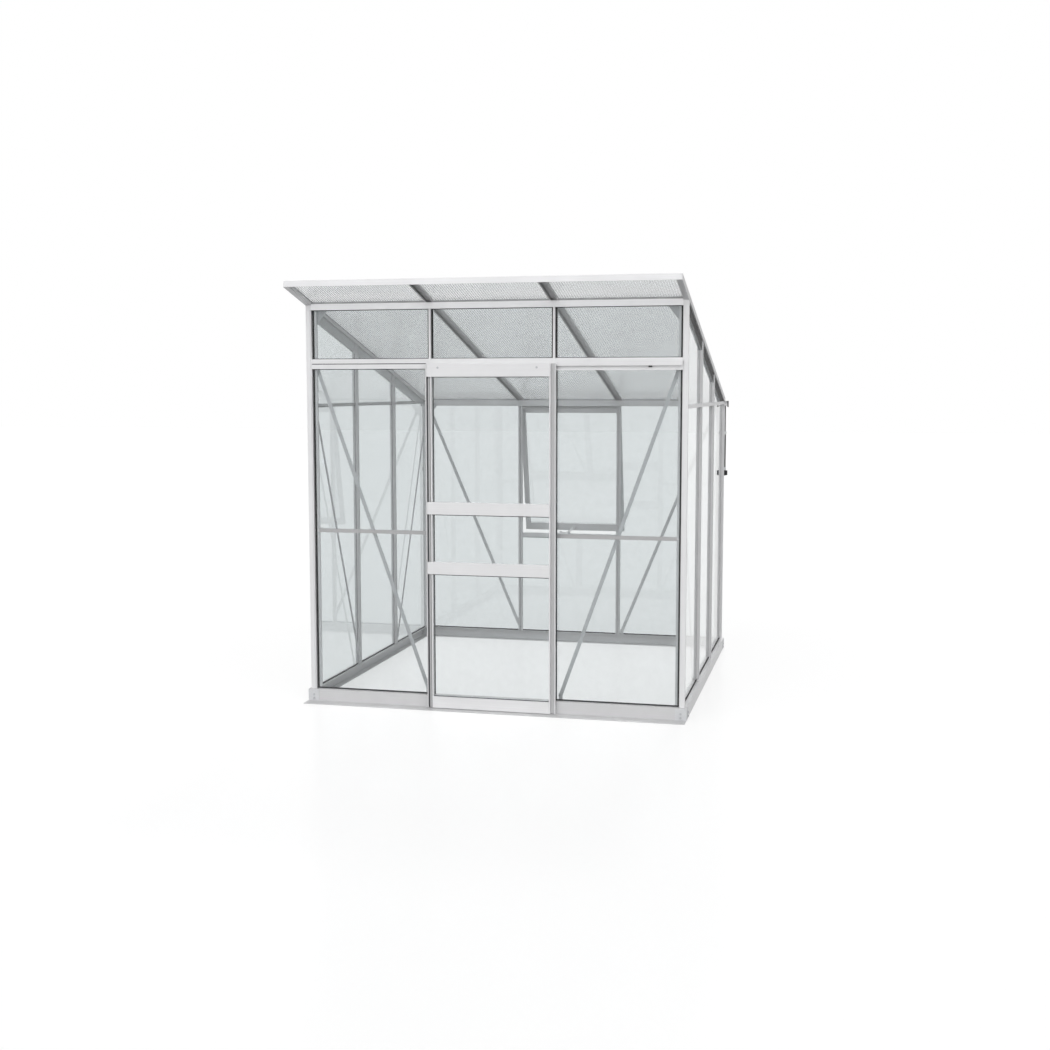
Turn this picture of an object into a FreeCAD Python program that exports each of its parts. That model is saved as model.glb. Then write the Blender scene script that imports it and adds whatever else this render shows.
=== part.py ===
import FreeCAD, Part
import math
import os
import Sketcher

# Pent-roofed glasshouse on a square plan: aluminium glazing-bar frame, glass walls,
# twin-wall roof, a sliding front door that hangs from a track and a top-hung rear window.
# X runs along the front, Y from the front to the back and Z up. The origin is in the
# middle of the front wall plane, level with the underside of the base.

Vector = FreeCAD.Vector
Rotation = FreeCAD.Rotation

BAYS = 3
# How far a cutter runs past what it cuts, in millimetres.
PAST = 1.0

# Driving sizes in millimetres and degrees: name, value and meaning.
SIZES = (
    ("module_width", 622.0, "spacing of the glazing bars on every wall"),
    ("corner_width", 23.0, "from a wall's outer corner to its first glazing line"),
    ("base_height", 62.0, "height of the base rails"),
    ("base_wall", 2.5, "wall of the base rails"),
    ("base_outset", 10.0, "base rail face outside the wall plane"),
    ("base_inset", 30.0, "base rail flange inside the wall plane"),
    ("foot_depth", 76.0, "threshold plate in front of the base rail"),
    ("foot_thickness", 3.0, "thickness of the threshold plate"),
    ("corner_leg", 55.0, "leg of the base corner plates"),
    ("corner_plate", 2.0, "thickness of the base corner plates"),
    ("plate_row_low", 14.5, "lower bolts of the corner plates above the ground"),
    ("plate_row_high", 34.0, "upper bolts of the corner plates above the ground"),
    ("plate_bolt_inset", 18.0, "corner plates' front and back bolts from the corner"),
    ("plate_bolt_margin", 7.0, "corner plates' side bolts from the end of the leg"),
    ("section_wall", 2.0, "wall of posts, bars and beams"),
    ("bar_width", 28.0, "width of a glazing bar's flanges"),
    ("bar_web", 8.0, "width of a glazing bar's web"),
    ("bar_seat", 20.0, "depth of the glass seat behind the wall plane"),
    ("channel_width", 16.0, "width of the bolt channel"),
    ("channel_depth", 11.0, "depth of the bolt channel behind the seat flange"),
    ("slot_width", 7.0, "mouth of the bolt channel"),
    ("post_box", 27.0, "side of a corner post's box"),
    ("post_face", 22.0, "plain face of a corner post before its groove"),
    ("post_groove", 3.0, "depth of the corner post's groove"),
    ("post_leg", 22.0, "reach of a corner post's legs past its box"),
    ("glass_thickness", 3.0, "thickness of the wall panes"),
    ("seal_thickness", 2.0, "glazing seal between pane and seat"),
    ("seal_width", 8.0, "width of the glazing seal"),
    ("edge_play", 2.0, "free space at a pane's long edges"),
    ("face_play", 0.3, "free space between a pane and a rebate"),
    ("front_rise", 24.5, "verge bars above the front eave beam's underside"),
    ("back_rise", 20.6, "verge bars above the back eave beam's underside"),
    ("beam_depth", 33.0, "depth of the eave beams"),
    ("roof_pitch", 14.68, "slope of the roof in degrees"),
    ("verge_height", 2001.5, "underside of the verge bars at the front wall plane"),
    ("verge_width", 27.0, "width of the verge bars"),
    ("verge_depth", 30.0, "depth of the verge bars"),
    ("verge_outset", 1.0, "verge bar face outside the side wall plane"),
    ("verge_groove", 1.5, "depth of the grooves along the verge bars"),
    ("verge_groove_width", 2.0, "width of the grooves along the verge bars"),
    ("verge_groove_low", 9.0, "lower groove above the verge bars' underside"),
    ("verge_groove_high", 19.0, "upper groove above the verge bars' underside"),
    ("verge_grip", 12.0, "depth of the verge bar's slot for the sheet"),
    ("roof_front", 282.0, "slope length of the roof in front of the wall plane"),
    ("roof_tail", 18.5, "slope length of the roof sheets behind the back wall plane"),
    ("bar_rest", 6.0, "underside of the roof bars above that of the verge bars"),
    ("roof_web", 6.0, "width of a roof bar's web"),
    ("sheet_seat", 18.0, "underside of the roof sheets above that of the verge bars"),
    ("sheet_thickness", 6.0, "thickness of the twin-wall sheets"),
    ("sheet_skin", 0.8, "skin and rib thickness of the twin-wall sheets"),
    ("rib_pitch", 16.0, "spacing of the ribs in the twin-wall sheets"),
    ("sheet_play", 1.0, "free space at the sheet's long edges"),
    ("cap_width", 32.0, "width of the capping on the roof bars"),
    ("cap_thickness", 3.0, "thickness of the capping on the roof bars"),
    ("fascia_lip", 20.0, "lips of the front and back sheet closers"),
    ("fascia_inset", 4.0, "ends of the fascia inside the verge bars' outer faces"),
    ("eave_seal_depth", 8.0, "slope length of the foam seals on the eave beams"),
    ("eave_seal_inset", 5.5, "front foam seals behind the wall plane, along the slope"),
    ("transom_drop", 291.0, "underside of the front transoms below the front eave"),
    ("transom_height", 49.0, "height of the front transoms"),
    ("transom_groove", 4.0, "width of the groove along the transoms"),
    ("groove_depth", 2.0, "depth of the groove along the transoms"),
    ("joint_low", 866.0, "underside of the joint strips between panes"),
    ("joint_height", 19.0, "height of the joint strips between panes"),
    ("strip_wall", 1.5, "wall of the joint strips between panes"),
    ("side_rail_rise", 14.0, "underside of the side eave rails above the back eave"),
    ("side_rail_height", 18.0, "height of the side eave rails"),
    ("leaf_lap", 12.0, "window leaf down over the rail below it"),
    ("sill_height", 32.0, "height of the rail below the window"),
    ("rebate", 6.0, "cover of a rail over a pane's edge"),
    ("brace_width", 19.0, "width of the diagonal braces"),
    ("brace_thickness", 2.0, "thickness of braces, gussets and cleats"),
    ("brace_foot", 24.0, "bolt of a brace above the base and below the eave"),
    ("brace_rise", 14.0, "top bolt of the front braces above the transoms' underside"),
    ("cleat_offset", 16.0, "cleat bolt beside a glazing bar's flange"),
    ("gusset_lap", 19.0, "gusset plate up over the eave beam"),
    ("gusset_leg", 69.0, "leg of the triangular gusset plates"),
    ("gusset_bolt", 26.0, "brace bolt in a gusset plate from its upright edge"),
    ("gusset_low", 51.0, "lower post bolt of a gusset plate below the eave"),
    ("gusset_end", 14.0, "outer beam screw of a gusset plate from its end"),
    ("gusset_hang", 23.0, "brace bolt in a gusset plate below the eave"),
    ("bolt_diameter", 6.0, "shank of the frame bolts"),
    ("bolt_play", 0.5, "free space around a bolt, on the radius"),
    ("head_width", 10.0, "width across the flats of bolt heads and nuts"),
    ("head_height", 4.0, "height of the bolt heads"),
    ("nut_height", 5.0, "height of the nuts"),
    ("screw_tail", 4.0, "tip of a beam screw past the beam's wall"),
    ("drill_length", 16.0, "length of the cutters that make the bolt holes"),
    ("drill_back", 8.0, "set-back of those cutters in front of a plate"),
    ("seal_drop", 50.0, "depth of the rubber seal below the verge bars"),
    ("seal_inset", 6.0, "rubber seal behind the side wall plane"),
    ("track_drop", 9.7, "underside of the door track's ledge below the transoms"),
    ("track_height", 45.7, "height of the door track"),
    ("track_wall", 2.0, "wall of the door track"),
    ("track_depth", 16.0, "depth of the door track in front of the wall plane"),
    ("ledge_setback", 1.0, "track's ledge behind the front of its skirt"),
    ("skirt_rise", 20.7, "lower edge of the track's front skirt above its ledge"),
    ("rib_play", 0.1, "free space at the running rib and the axle holes"),
    ("axle_head", 1.5, "thickness of the axle's retaining head"),
    ("keeper_radius", 4.5, "corner radius of the axle's retaining head"),
    ("spacer_radius", 5.0, "corner radius of the axle's spacing collar"),
    ("guide_length", 40.0, "length of the door's bottom guides"),
    ("guide_height", 24.0, "height of the door's bottom guides"),
    ("guide_rise", 12.0, "bottom guides above the door's lower edge"),
    ("track_overrun", 3.0, "track beyond the door's left edge"),
    ("rib_width", 1.6, "width of the rail that the rollers run on"),
    ("roller_radius", 10.25, "outer radius of the door rollers"),
    ("roller_groove", 8.25, "running radius of the door rollers"),
    ("roller_width", 7.0, "width of the door rollers"),
    ("roller_rise", 13.7, "roller axles above the underside of the track"),
    ("tread_play", 1.0, "width of the rollers' tread beyond the running rail"),
    ("roller_play", 0.08, "running fit of the rollers, on the radius"),
    ("axle_radius", 3.0, "radius of the roller axles"),
    ("axle_inset_left", 64.0, "left roller axle from the door's left edge"),
    ("axle_inset_right", 92.0, "right roller axle from the door's right edge"),
    ("travel_margin", 99.0, "travel of the door short of one module"),
    ("stop_width", 16.0, "width of the track stops"),
    ("stop_play", 0.5, "free space between a roller and its stop"),
    ("door_lap", 11.0, "door past the left glazing line"),
    ("door_spare", 28.0, "width of the door beyond one module"),
    ("door_low", 5.5, "lower edge of the door"),
    ("door_rise", 19.0, "top edge of the door above the roller axles"),
    ("door_gap", 18.0, "door behind face in front of the wall plane"),
    ("door_depth", 22.0, "depth of the door's sections"),
    ("stile_width", 31.0, "width of the door stiles"),
    ("door_top_height", 63.0, "height of the door's top rail"),
    ("door_mid_height", 61.0, "height of the door's middle rails"),
    ("door_mid_upper", 973.0, "underside of the upper middle rail"),
    ("door_mid_lower", 676.5, "underside of the lower middle rail"),
    ("door_bottom_height", 58.0, "height of the door's bottom rail"),
    ("door_groove", 8.0, "depth of the glass groove in the door's rails"),
    ("brush_depth", 5.0, "depth of the door's brush seals"),
    ("brush_width", 6.0, "width of the door's brush seals"),
    ("brush_inset", 10.0, "brush seals from the door's edges and from its sill and track"),
    ("jamb_width", 10.0, "width of the closing strip beside the door"),
    ("jamb_play", 1.0, "free space between that strip and the door's edge line"),
    ("hinge_out", 10.0, "window hinge line behind the back wall plane"),
    ("hinge_drop", 6.0, "window hinge line below the back eave"),
    ("bead_radius", 3.0, "radius of the hinge bead"),
    ("bead_play", 0.3, "running fit of the hinge, on the radius"),
    ("hook_wall", 2.0, "wall of the hinge hook"),
    ("hook_start", -158.0, "where the hinge hook starts, from straight down, in degrees"),
    ("hook_sweep", 281.0, "angle that the hinge hook goes round, in degrees"),
    ("leaf_spare", 14.0, "width of the window leaf beyond one module"),
    ("leaf_height", 800.0, "window leaf below its hinge line"),
    ("leaf_top", 8.0, "top of the leaf's frame below its hinge line"),
    ("leaf_inside", 8.0, "leaf's inner face in front of its hinge line"),
    ("leaf_depth", 24.0, "depth of the window leaf's sections"),
    ("leaf_stile", 28.0, "width of the window leaf's stiles and top rail"),
    ("leaf_bottom", 45.0, "height of the window leaf's bottom rail"),
    ("open_angle", 11.5, "opening of the window at rest in degrees"),
    ("stay_rise", 25.0, "stay pivot above the leaf's lower edge"),
    ("stay_stand", 16.0, "stay pivot in front of the hinge line"),
    ("stay_width", 14.0, "width of the stay arm"),
    ("stay_thickness", 3.0, "thickness of the stay arm"),
    ("stay_length", 430.0, "length of the stay arm"),
    ("stay_slot", 6.0, "width of the slot in the stay arm"),
    ("stay_bow", 1260.0, "radius that the stay arm is bowed to"),
    ("stay_grip", 20.0, "turned-down end of the stay arm"),
    ("stay_margin", 25.0, "stay arm past the inner end of its slot"),
    ("slot_margin", 14.0, "slot's outer end from the stay pivot"),
    ("pin_radius", 2.0, "radius of the stay pin"),
    ("pin_play", 0.1, "running fit of the stay pin, on the radius"),
    ("pin_boss", 5.0, "radius of the stay arm's eye"),
    ("peg_height", 14.0, "stay peg above its seat"),
    ("peg_diameter", 5.0, "diameter of the stay peg"),
    ("peg_inset", 26.0, "stay peg inside the back wall plane"),
    ("peg_riser", 10.0, "depth of the riser that carries the stay peg"),
    ("gutter_depth", 58.0, "depth of the gutter behind the wall plane"),
    ("gutter_height", 28.0, "height of the gutter's outer wall"),
    ("gutter_overhang", 14.0, "gutter past the house corners"),
    ("gutter_lip", 6.0, "turned-in lip of the gutter"),
    ("gutter_cap", 3.0, "thickness of the gutter's end caps"),
    ("cap_drop", 8.0, "gutter's end caps below its floor"),
    ("pipe_radius", 27.5, "outer radius of the downpipes"),
    ("pipe_wall", 2.0, "wall of the downpipes"),
    ("pipe_line", 33.0, "downpipe axis behind the wall plane"),
    ("pipe_inset", 22.0, "downpipe axis inside the house corner"),
    ("collar_drop", 170.0, "underside of the upper pipe collar below the back eave"),
    ("pipe_length", 217.0, "spacing of the two pipe collars"),
    ("collar_height", 19.0, "height of the pipe collars"),
    ("collar_foot", 20.0, "width of the pipe collars' feet"),
    ("spout_height", 32.0, "height of the spout below the lower collar"),
    ("spout_reach", 10.0, "mouths of the spout past the downpipe"),
)


class Length:
    """A size, or a sum or product of sizes: its value and the expression that gives it."""

    def __init__(self, value, text):
        self.value = value
        self.text = text

    def __add__(self, other):
        other = length(other)
        return Length(self.value + other.value, "(%s + %s)" % (self.text, other.text))

    def __sub__(self, other):
        other = length(other)
        return Length(self.value - other.value, "(%s - %s)" % (self.text, other.text))

    def __mul__(self, other):
        other = length(other)
        return Length(self.value * other.value, "%s * %s" % (self.text, other.text))

    def __truediv__(self, other):
        other = length(other)
        return Length(self.value / other.value, "(%s / %s)" % (self.text, other.text))

    def __radd__(self, other):
        return length(other) + self

    def __rsub__(self, other):
        return length(other) - self

    def __rmul__(self, other):
        return length(other) * self

    def __neg__(self):
        return length(0) - self


def length(number):
    """A plain number as a Length."""
    if isinstance(number, Length):
        return number
    text = repr(float(number))
    return Length(float(number), text if number >= 0 else "(%s)" % text)


def sine(angle):
    return Length(math.sin(math.radians(angle.value)), "sin(%s * 1 deg)" % angle.text)


def cosine(angle):
    return Length(math.cos(math.radians(angle.value)), "cos(%s * 1 deg)" % angle.text)


def tangent(angle):
    return Length(math.tan(math.radians(angle.value)), "tan(%s * 1 deg)" % angle.text)


def hypotenuse_leg(long_side, short_side):
    """The other leg of a right triangle from its long side and one leg."""
    text = "sqrt(%s * %s - %s * %s)" % (long_side.text, long_side.text, short_side.text,
                                        short_side.text)
    return Length(math.sqrt(long_side.value ** 2 - short_side.value ** 2), text)


def hypotenuse(a, b):
    text = "sqrt(%s * %s + %s * %s)" % (a.text, a.text, b.text, b.text)
    return Length(math.hypot(a.value, b.value), text)


os.makedirs("parts", exist_ok=True)
doc = FreeCAD.newDocument("glasshouse")
sheet = doc.addObject("Spreadsheet::Sheet", "Sizes")
for row, (alias, value, meaning) in enumerate(SIZES, 1):
    sheet.set("A%d" % row, meaning)
    sheet.set("B%d" % row, repr(value))
    sheet.setAlias("B%d" % row, alias)
doc.recompute()


class Sizes:
    """The sheet's cells by name, each as a Length."""

    def __getattr__(self, alias):
        return Length(float(sheet.get(alias)), "Sizes." + alias)


S = Sizes()

# Levels and lines that several pieces share.
half_width = S.module_width * (BAYS / 2) + S.corner_width
depth = S.module_width * BAYS + S.corner_width * 2
pitch = S.roof_pitch
bar_depth = S.bar_seat + S.section_wall + S.channel_depth
pane_face = S.bar_seat - S.seal_thickness - S.glass_thickness
pane_back = S.bar_seat - S.seal_thickness
post_reach = S.post_box + S.post_leg
pane_edge = S.bar_web / 2 + S.edge_play
bar_half = S.bar_width / 2
hole_radius = S.bolt_diameter / 2 + S.bolt_play
plate_level = bar_depth + S.brace_thickness
bar_lines = (S.module_width / -2, S.module_width / 2)
side_lines = tuple(S.corner_width + S.module_width * i for i in range(1, BAYS))
hinge_y = depth + S.hinge_out
zero = length(0)


def roof_level(y, rise):
    """Height, at a place along Y, of the plane that lies rise above the verge bars' underside."""
    return S.verge_height + rise / cosine(pitch) - y * tangent(pitch)


def roof_reach(z, rise):
    """Place along Y where that same plane comes down to the height z."""
    return (S.verge_height + rise / cosine(pitch) - z) / tangent(pitch)


def bay_line(i):
    """Place of a bay line along a side wall, from the front corner."""
    return S.corner_width + S.module_width * i


# Heights that follow the roof, and the lines of the door and the window.
eave_front = S.verge_height - S.front_rise
eave_back = roof_level(depth, zero) - S.back_rise
transom_low = eave_front - S.transom_drop
side_rail_low = eave_back + S.side_rail_rise
track_low = transom_low - S.track_drop
track_high = track_low + S.track_height
roller_height = track_low + S.roller_rise
door_high = roller_height + S.door_rise
door_left = bar_lines[0] - S.door_lap
door_width = S.module_width + S.door_spare
door_right = door_left + door_width
door_travel = S.module_width - S.travel_margin
axle_left = door_left + S.axle_inset_left
axle_right = door_right - S.axle_inset_right
hinge_height = eave_back - S.hinge_drop
leaf_width = S.module_width + S.leaf_spare
stay_drop = S.leaf_height - S.stay_rise
sill_low = hinge_height - S.leaf_height + S.leaf_lap - S.sill_height
collar_upper = eave_back - S.collar_drop
collar_lower = collar_upper - S.pipe_length


# The four walls: u runs along the wall and v inwards from its outer face.
def front(u, v):
    return u, v


def back(u, v):
    return u, depth - v


def left(u, v):
    return v - half_width, u


def right(u, v):
    return half_width - v, u


def bind(item, path, amount):
    item.setExpression(path, length(amount).text)


def group(label, pieces, frame=None):
    """One named node of separate solids, turned into the frame that it was drawn in."""
    node = doc.addObject("Part::Compound", label)
    node.Links = list(pieces)
    set_frame(node, frame)
    return node


def set_frame(node, frame):
    if frame is None:
        return
    origin_y, origin_z, angle = frame
    node.Placement = FreeCAD.Placement(Vector(0, 0, 0), Rotation(Vector(1, 0, 0), angle.value))
    node.setExpression("Placement.Rotation.Angle", "%s * 1 deg" % angle.text)
    bind(node, "Placement.Base.y", origin_y)
    bind(node, "Placement.Base.z", origin_z)


ROOF = (zero, S.verge_height, -pitch)
LEAF = (hinge_y, hinge_height, S.open_angle)

PLANES = {"X": ("YZ_Plane", False), "Y": ("XZ_Plane", True), "Z": ("XY_Plane", False)}


def sketch_on(body, role, loops, label):
    """A sketch of closed straight-sided loops, every corner tied to the sizes."""
    sketch = body.newObject("Sketcher::SketchObject", label)
    plane = [item for item in body.Origin.OriginFeatures if item.Role == role][0]
    sketch.AttachmentSupport = (plane, [""])
    sketch.MapMode = "FlatFace"
    first = 0
    for loop in loops:
        corners = [(length(a), length(b)) for a, b in loop]
        count = len(corners)
        spots = [Vector(a.value, b.value, 0) for a, b in corners]
        lines = [Part.LineSegment(spots[i], spots[(i + 1) % count]) for i in range(count)]
        sketch.addGeometry(lines, False)
        for i in range(count):
            joined = ("Coincident", first + i, 2, first + (i + 1) % count, 1)
            sketch.addConstraint(Sketcher.Constraint(*joined))
        for i, (a, b) in enumerate(corners):
            for kind, amount in (("DistanceX", a), ("DistanceY", b)):
                place = (kind, -1, 1, first + i, 1, amount.value)
                index = sketch.addConstraint(Sketcher.Constraint(*place))
                sketch.setExpression("Constraints[%d]" % index, amount.text)
        first += count
    return sketch


def extrusion(label, axis, loops, start, end):
    """A profile drawn across an axis and carried along it from start to end."""
    start, end = length(start), length(end)
    role, reverse = PLANES[axis]
    body = doc.addObject("PartDesign::Body", label)
    pad = body.newObject("PartDesign::Pad", label + "_length")
    sketch = sketch_on(body, role, loops, label + "_profile")
    pad.Profile = sketch
    pad.Reversed = reverse
    bind(pad, "Length", end - start)
    bind(body, "Placement.Base." + axis.lower(), start)
    body.Tip = pad
    return body


def block(label, x, y, z):
    """A plain block between two limits on each axis."""
    box = doc.addObject("Part::Box", label)
    for size, axis, (low, high) in zip(("Length", "Width", "Height"), "xyz", (x, y, z)):
        low, high = length(low), length(high)
        bind(box, size, high - low)
        bind(box, "Placement.Base." + axis, low)
    return box


TURNS = {"X": (Vector(0, 1, 0), 90), "Y": (Vector(1, 0, 0), -90), "Z": (Vector(0, 0, 1), 0)}


def rod(label, axis, centre, radius, start, end):
    """A cylinder along an axis; centre gives its place on the other two."""
    start, end = length(start), length(end)
    cylinder = doc.addObject("Part::Cylinder", label)
    cylinder.Placement = FreeCAD.Placement(Vector(0, 0, 0), Rotation(*TURNS[axis]))
    bind(cylinder, "Radius", radius)
    bind(cylinder, "Height", end - start)
    bind(cylinder, "Placement.Base." + axis.lower(), start)
    others = [name for name in "xyz" if name != axis.lower()]
    for name, amount in zip(others, centre):
        bind(cylinder, "Placement.Base." + name, amount)
    return cylinder


def cut(label, base, tools):
    tool = tools[0] if len(tools) == 1 else group(label + "_openings", tools)
    result = doc.addObject("Part::Cut", label)
    result.Base = base
    result.Tool = tool
    return result


def fuse(label, pieces):
    result = doc.addObject("Part::MultiFuse", label)
    result.Shapes = list(pieces)
    return result


def mirror_x(label, source):
    """The same piece on the other side of the middle of the house."""
    result = doc.addObject("Part::Mirroring", label)
    result.Source = source
    result.Normal = (1, 0, 0)
    return result


def mirrored(half):
    """A closed outline from its right half."""
    return list(half) + [(-length(a), b) for a, b in reversed(half)]


# Profiles
def bar_profile(outer_flange):
    """Glazing bar: flange, web, glass seat and bolt channel; (u, v) with v inwards."""
    wall, channel = S.section_wall, S.channel_width / 2
    web, inner = S.bar_web / 2, channel - S.section_wall
    half = [(web, S.bar_seat), (bar_half, S.bar_seat), (bar_half, S.bar_seat + wall),
            (channel, S.bar_seat + wall), (channel, bar_depth), (S.slot_width / 2, bar_depth),
            (S.slot_width / 2, bar_depth - wall), (inner, bar_depth - wall),
            (inner, S.bar_seat + wall)]
    head = [(bar_half, 0), (bar_half, wall), (web, wall)] if outer_flange else [(web, 0)]
    return mirrored(head + half)


def post_profile():
    """Corner post: grooved box with a glass seat and a bolt channel on both inner sides."""
    wall, seat, reach, box = S.section_wall, S.bar_seat, post_reach, S.post_box
    mouth_a = reach - (S.channel_width - S.slot_width) / 2
    mouth_b = mouth_a - S.slot_width
    channel = reach - S.channel_width
    leg = [(box, seat), (reach, seat), (reach, bar_depth), (mouth_a, bar_depth),
           (mouth_a, bar_depth - wall), (reach - wall, bar_depth - wall),
           (reach - wall, seat + wall), (channel + wall, seat + wall),
           (channel + wall, bar_depth - wall), (mouth_b, bar_depth - wall),
           (mouth_b, bar_depth)]
    half = [(S.post_face, 0), (S.post_face, S.post_groove), (box, S.post_groove)] + leg
    heel = [(channel, channel)]
    return [(0, 0)] + half + heel + [(b, a) for a, b in reversed(half)]


def post_core():
    wall = S.section_wall
    low, high = S.post_groove + wall, S.post_box - wall
    return [(low, low), (high, low), (high, high), (low, high)]


def base_profile(foot):
    """Base rail: channel open to the inside; (v, z), with the threshold plate in front."""
    wall, out, inside = S.base_wall, S.base_outset, S.base_inset
    toe = [(-out, S.foot_thickness), (-out - S.foot_depth, S.foot_thickness),
           (-out - S.foot_depth, 0)] if foot else [(-out, 0)]
    return [(inside, 0), (inside, wall), (wall - out, wall), (wall - out, S.base_height - wall),
            (inside, S.base_height - wall), (inside, S.base_height), (-out, S.base_height)] + toe


def rail_profile(low, height, top_rebate, bottom_rebate, groove):
    """Wall rail between two bars, rebated on the inside for the panes; (v, z)."""
    face, rear = S.section_wall, pane_back
    step = pane_face - S.face_play
    high = low + height
    outline = [(face, low)]
    outline += [(step, low), (step, low + S.rebate)] if bottom_rebate else [(rear, low)]
    if bottom_rebate:
        outline += [(rear, low + S.rebate)]
    if top_rebate:
        outline += [(rear, high - S.rebate), (step, high - S.rebate), (step, high)]
    else:
        outline += [(rear, high)]
    outline += [(face, high)]
    if groove:
        middle = low + height / 2
        floor, half = face + S.groove_depth, S.transom_groove / 2
        outline += [(face, middle + half), (floor, middle + half), (floor, middle - half),
                    (face, middle - half)]
    return outline


def on_wall(wall, outline):
    """A (v, z) outline of a front or back rail as (y, z)."""
    return [(wall(0, v)[1], z) for v, z in outline]


def on_side(wall, outline):
    """A (v, z) outline of a side rail as (x, z)."""
    return [(wall(0, v)[0], z) for v, z in outline]


# Fasteners: one of each kind is drawn, and the rest are links to it. Shanks and their holes
# have six flats, so that many small pieces keep few faces.
head_corner = S.head_width / math.sqrt(3)


def hexagon(label, corner, start, height):
    """Six-sided bar along Z; corner is the radius out to its edges."""
    prism = doc.addObject("Part::Prism", label)
    prism.Polygon = 6
    bind(prism, "Circumradius", corner)
    bind(prism, "Height", height)
    bind(prism, "Placement.Base.z", start)
    return prism


def make_bolt(label, grip):
    """Hexagon head, shank and nut, with the head's outer face at the origin, along Z."""
    head = hexagon(label + "_head", head_corner, zero, S.head_height)
    shank = hexagon(label + "_shank", S.bolt_diameter / 2, S.head_height, grip)
    nut = hexagon(label + "_nut", head_corner, S.head_height + grip, S.nut_height)
    return fuse(label, (head, shank, nut))


WALL_TURN = {"front": Rotation(Vector(1, 0, 0), -90), "back": Rotation(Vector(1, 0, 0), 90),
             "left": Rotation(Vector(0, 1, 0), 90), "right": Rotation(Vector(0, 1, 0), -90)}


def link_on_wall(label, source, wall, u, v, z):
    """A link to a drawn fastener or hole, set on a wall and pointing inwards from v."""
    link = doc.addObject("App::Link", label)
    link.LinkedObject = source
    link.Placement = FreeCAD.Placement(Vector(0, 0, 0), WALL_TURN[wall.__name__])
    x, y = wall(length(u), length(v))
    bind(link, "Placement.Base.x", x)
    bind(link, "Placement.Base.y", y)
    bind(link, "Placement.Base.z", z)
    return link


def make_screw(label, grip):
    """Shank first and then the head, for a screw driven from inside the wall."""
    shank = hexagon(label + "_shank", S.bolt_diameter / 2, zero, grip + S.screw_tail)
    head = hexagon(label + "_head", head_corner, grip + S.screw_tail, S.head_height)
    return fuse(label, (shank, head))


drill = hexagon("bolt_hole", hole_radius / math.cos(math.pi / 6), zero, S.drill_length)
channel_bolt = make_bolt("channel_bolt", S.section_wall + S.brace_thickness)
brace_bolt = make_bolt("brace_bolt", S.section_wall + S.brace_thickness * 2)
plate_bolt = make_bolt("plate_bolt", S.corner_plate + S.base_wall)
beam_screw = make_screw("beam_screw", S.section_wall + S.brace_thickness)
bolts = []


def drills(label, places, set_back):
    """Holes through thin plates, one for each bolt place; each starts set_back outside."""
    return [link_on_wall("%s_hole_%d" % (label, i), drill, wall, u, v - set_back, z)
            for i, (wall, u, v, z) in enumerate(places)]


def add_bolts(source, label, places):
    bolts.extend(link_on_wall("%s_%d" % (label, i), source, wall, u, v, z)
                 for i, (wall, u, v, z) in enumerate(places))


nodes = []

# Base
outer = half_width + S.base_outset
front_rail = extrusion("front_rail_section", "X", [on_wall(front, base_profile(True))],
                       -outer, outer)
back_rail = extrusion("back_rail_section", "X", [on_wall(back, base_profile(False))],
                      -outer, outer)
side_sections = [extrusion(wall.__name__ + "_base_rail", "Y",
                           [on_side(wall, base_profile(False))], S.base_inset,
                           depth - S.base_inset) for wall in (left, right)]


def corner_places(wall_u, wall_v, v):
    """Bolt places on both legs of one base corner plate."""
    u_sign = 1 if wall_u is right else -1
    front_u = (half_width - S.plate_bolt_inset) * u_sign
    side_u = S.corner_leg - S.base_outset - S.plate_bolt_margin
    side_u = side_u if wall_v is front else depth - side_u
    return [(wall, u, v, row) for row in (S.plate_row_low, S.plate_row_high)
            for wall, u in ((wall_v, front_u), (wall_u, side_u))]


corners = [(side, end) for side in (left, right) for end in (front, back)]
plate_places = []
corner_plates = []
plate_out = S.base_outset + S.corner_plate
plate_low = S.foot_thickness
plate_top = S.base_height - S.foot_thickness
for side, end in corners:
    name = "%s_%s_plate" % (end.__name__, side.__name__)
    far = S.corner_leg - S.base_outset
    spots = ((-plate_out, -plate_out), (far, -plate_out), (far, -S.base_outset),
             (-S.base_outset, -S.base_outset), (-S.base_outset, far), (-plate_out, far))
    outline = [(side(0, a)[0], end(0, b)[1]) for a, b in spots]
    corner_plates.append(extrusion(name, "Z", [outline], plate_low, plate_top))
    plate_places += corner_places(side, end, -plate_out - S.head_height)
plate_drills = drills("plate", plate_places, 0)
all_drills = group("plate_drilling", plate_drills)
nodes.append(cut("front_base_rail", front_rail, [all_drills]))
nodes.append(cut("back_base_rail", back_rail, [all_drills]))
nodes.append(cut("side_base_rails", group("side_rail_sections", side_sections), [all_drills]))
nodes.append(cut("base_corner_plates", group("corner_plate_sections", corner_plates),
                 [all_drills]))
add_bolts(plate_bolt, "plate_bolt_at", plate_places)

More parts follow.
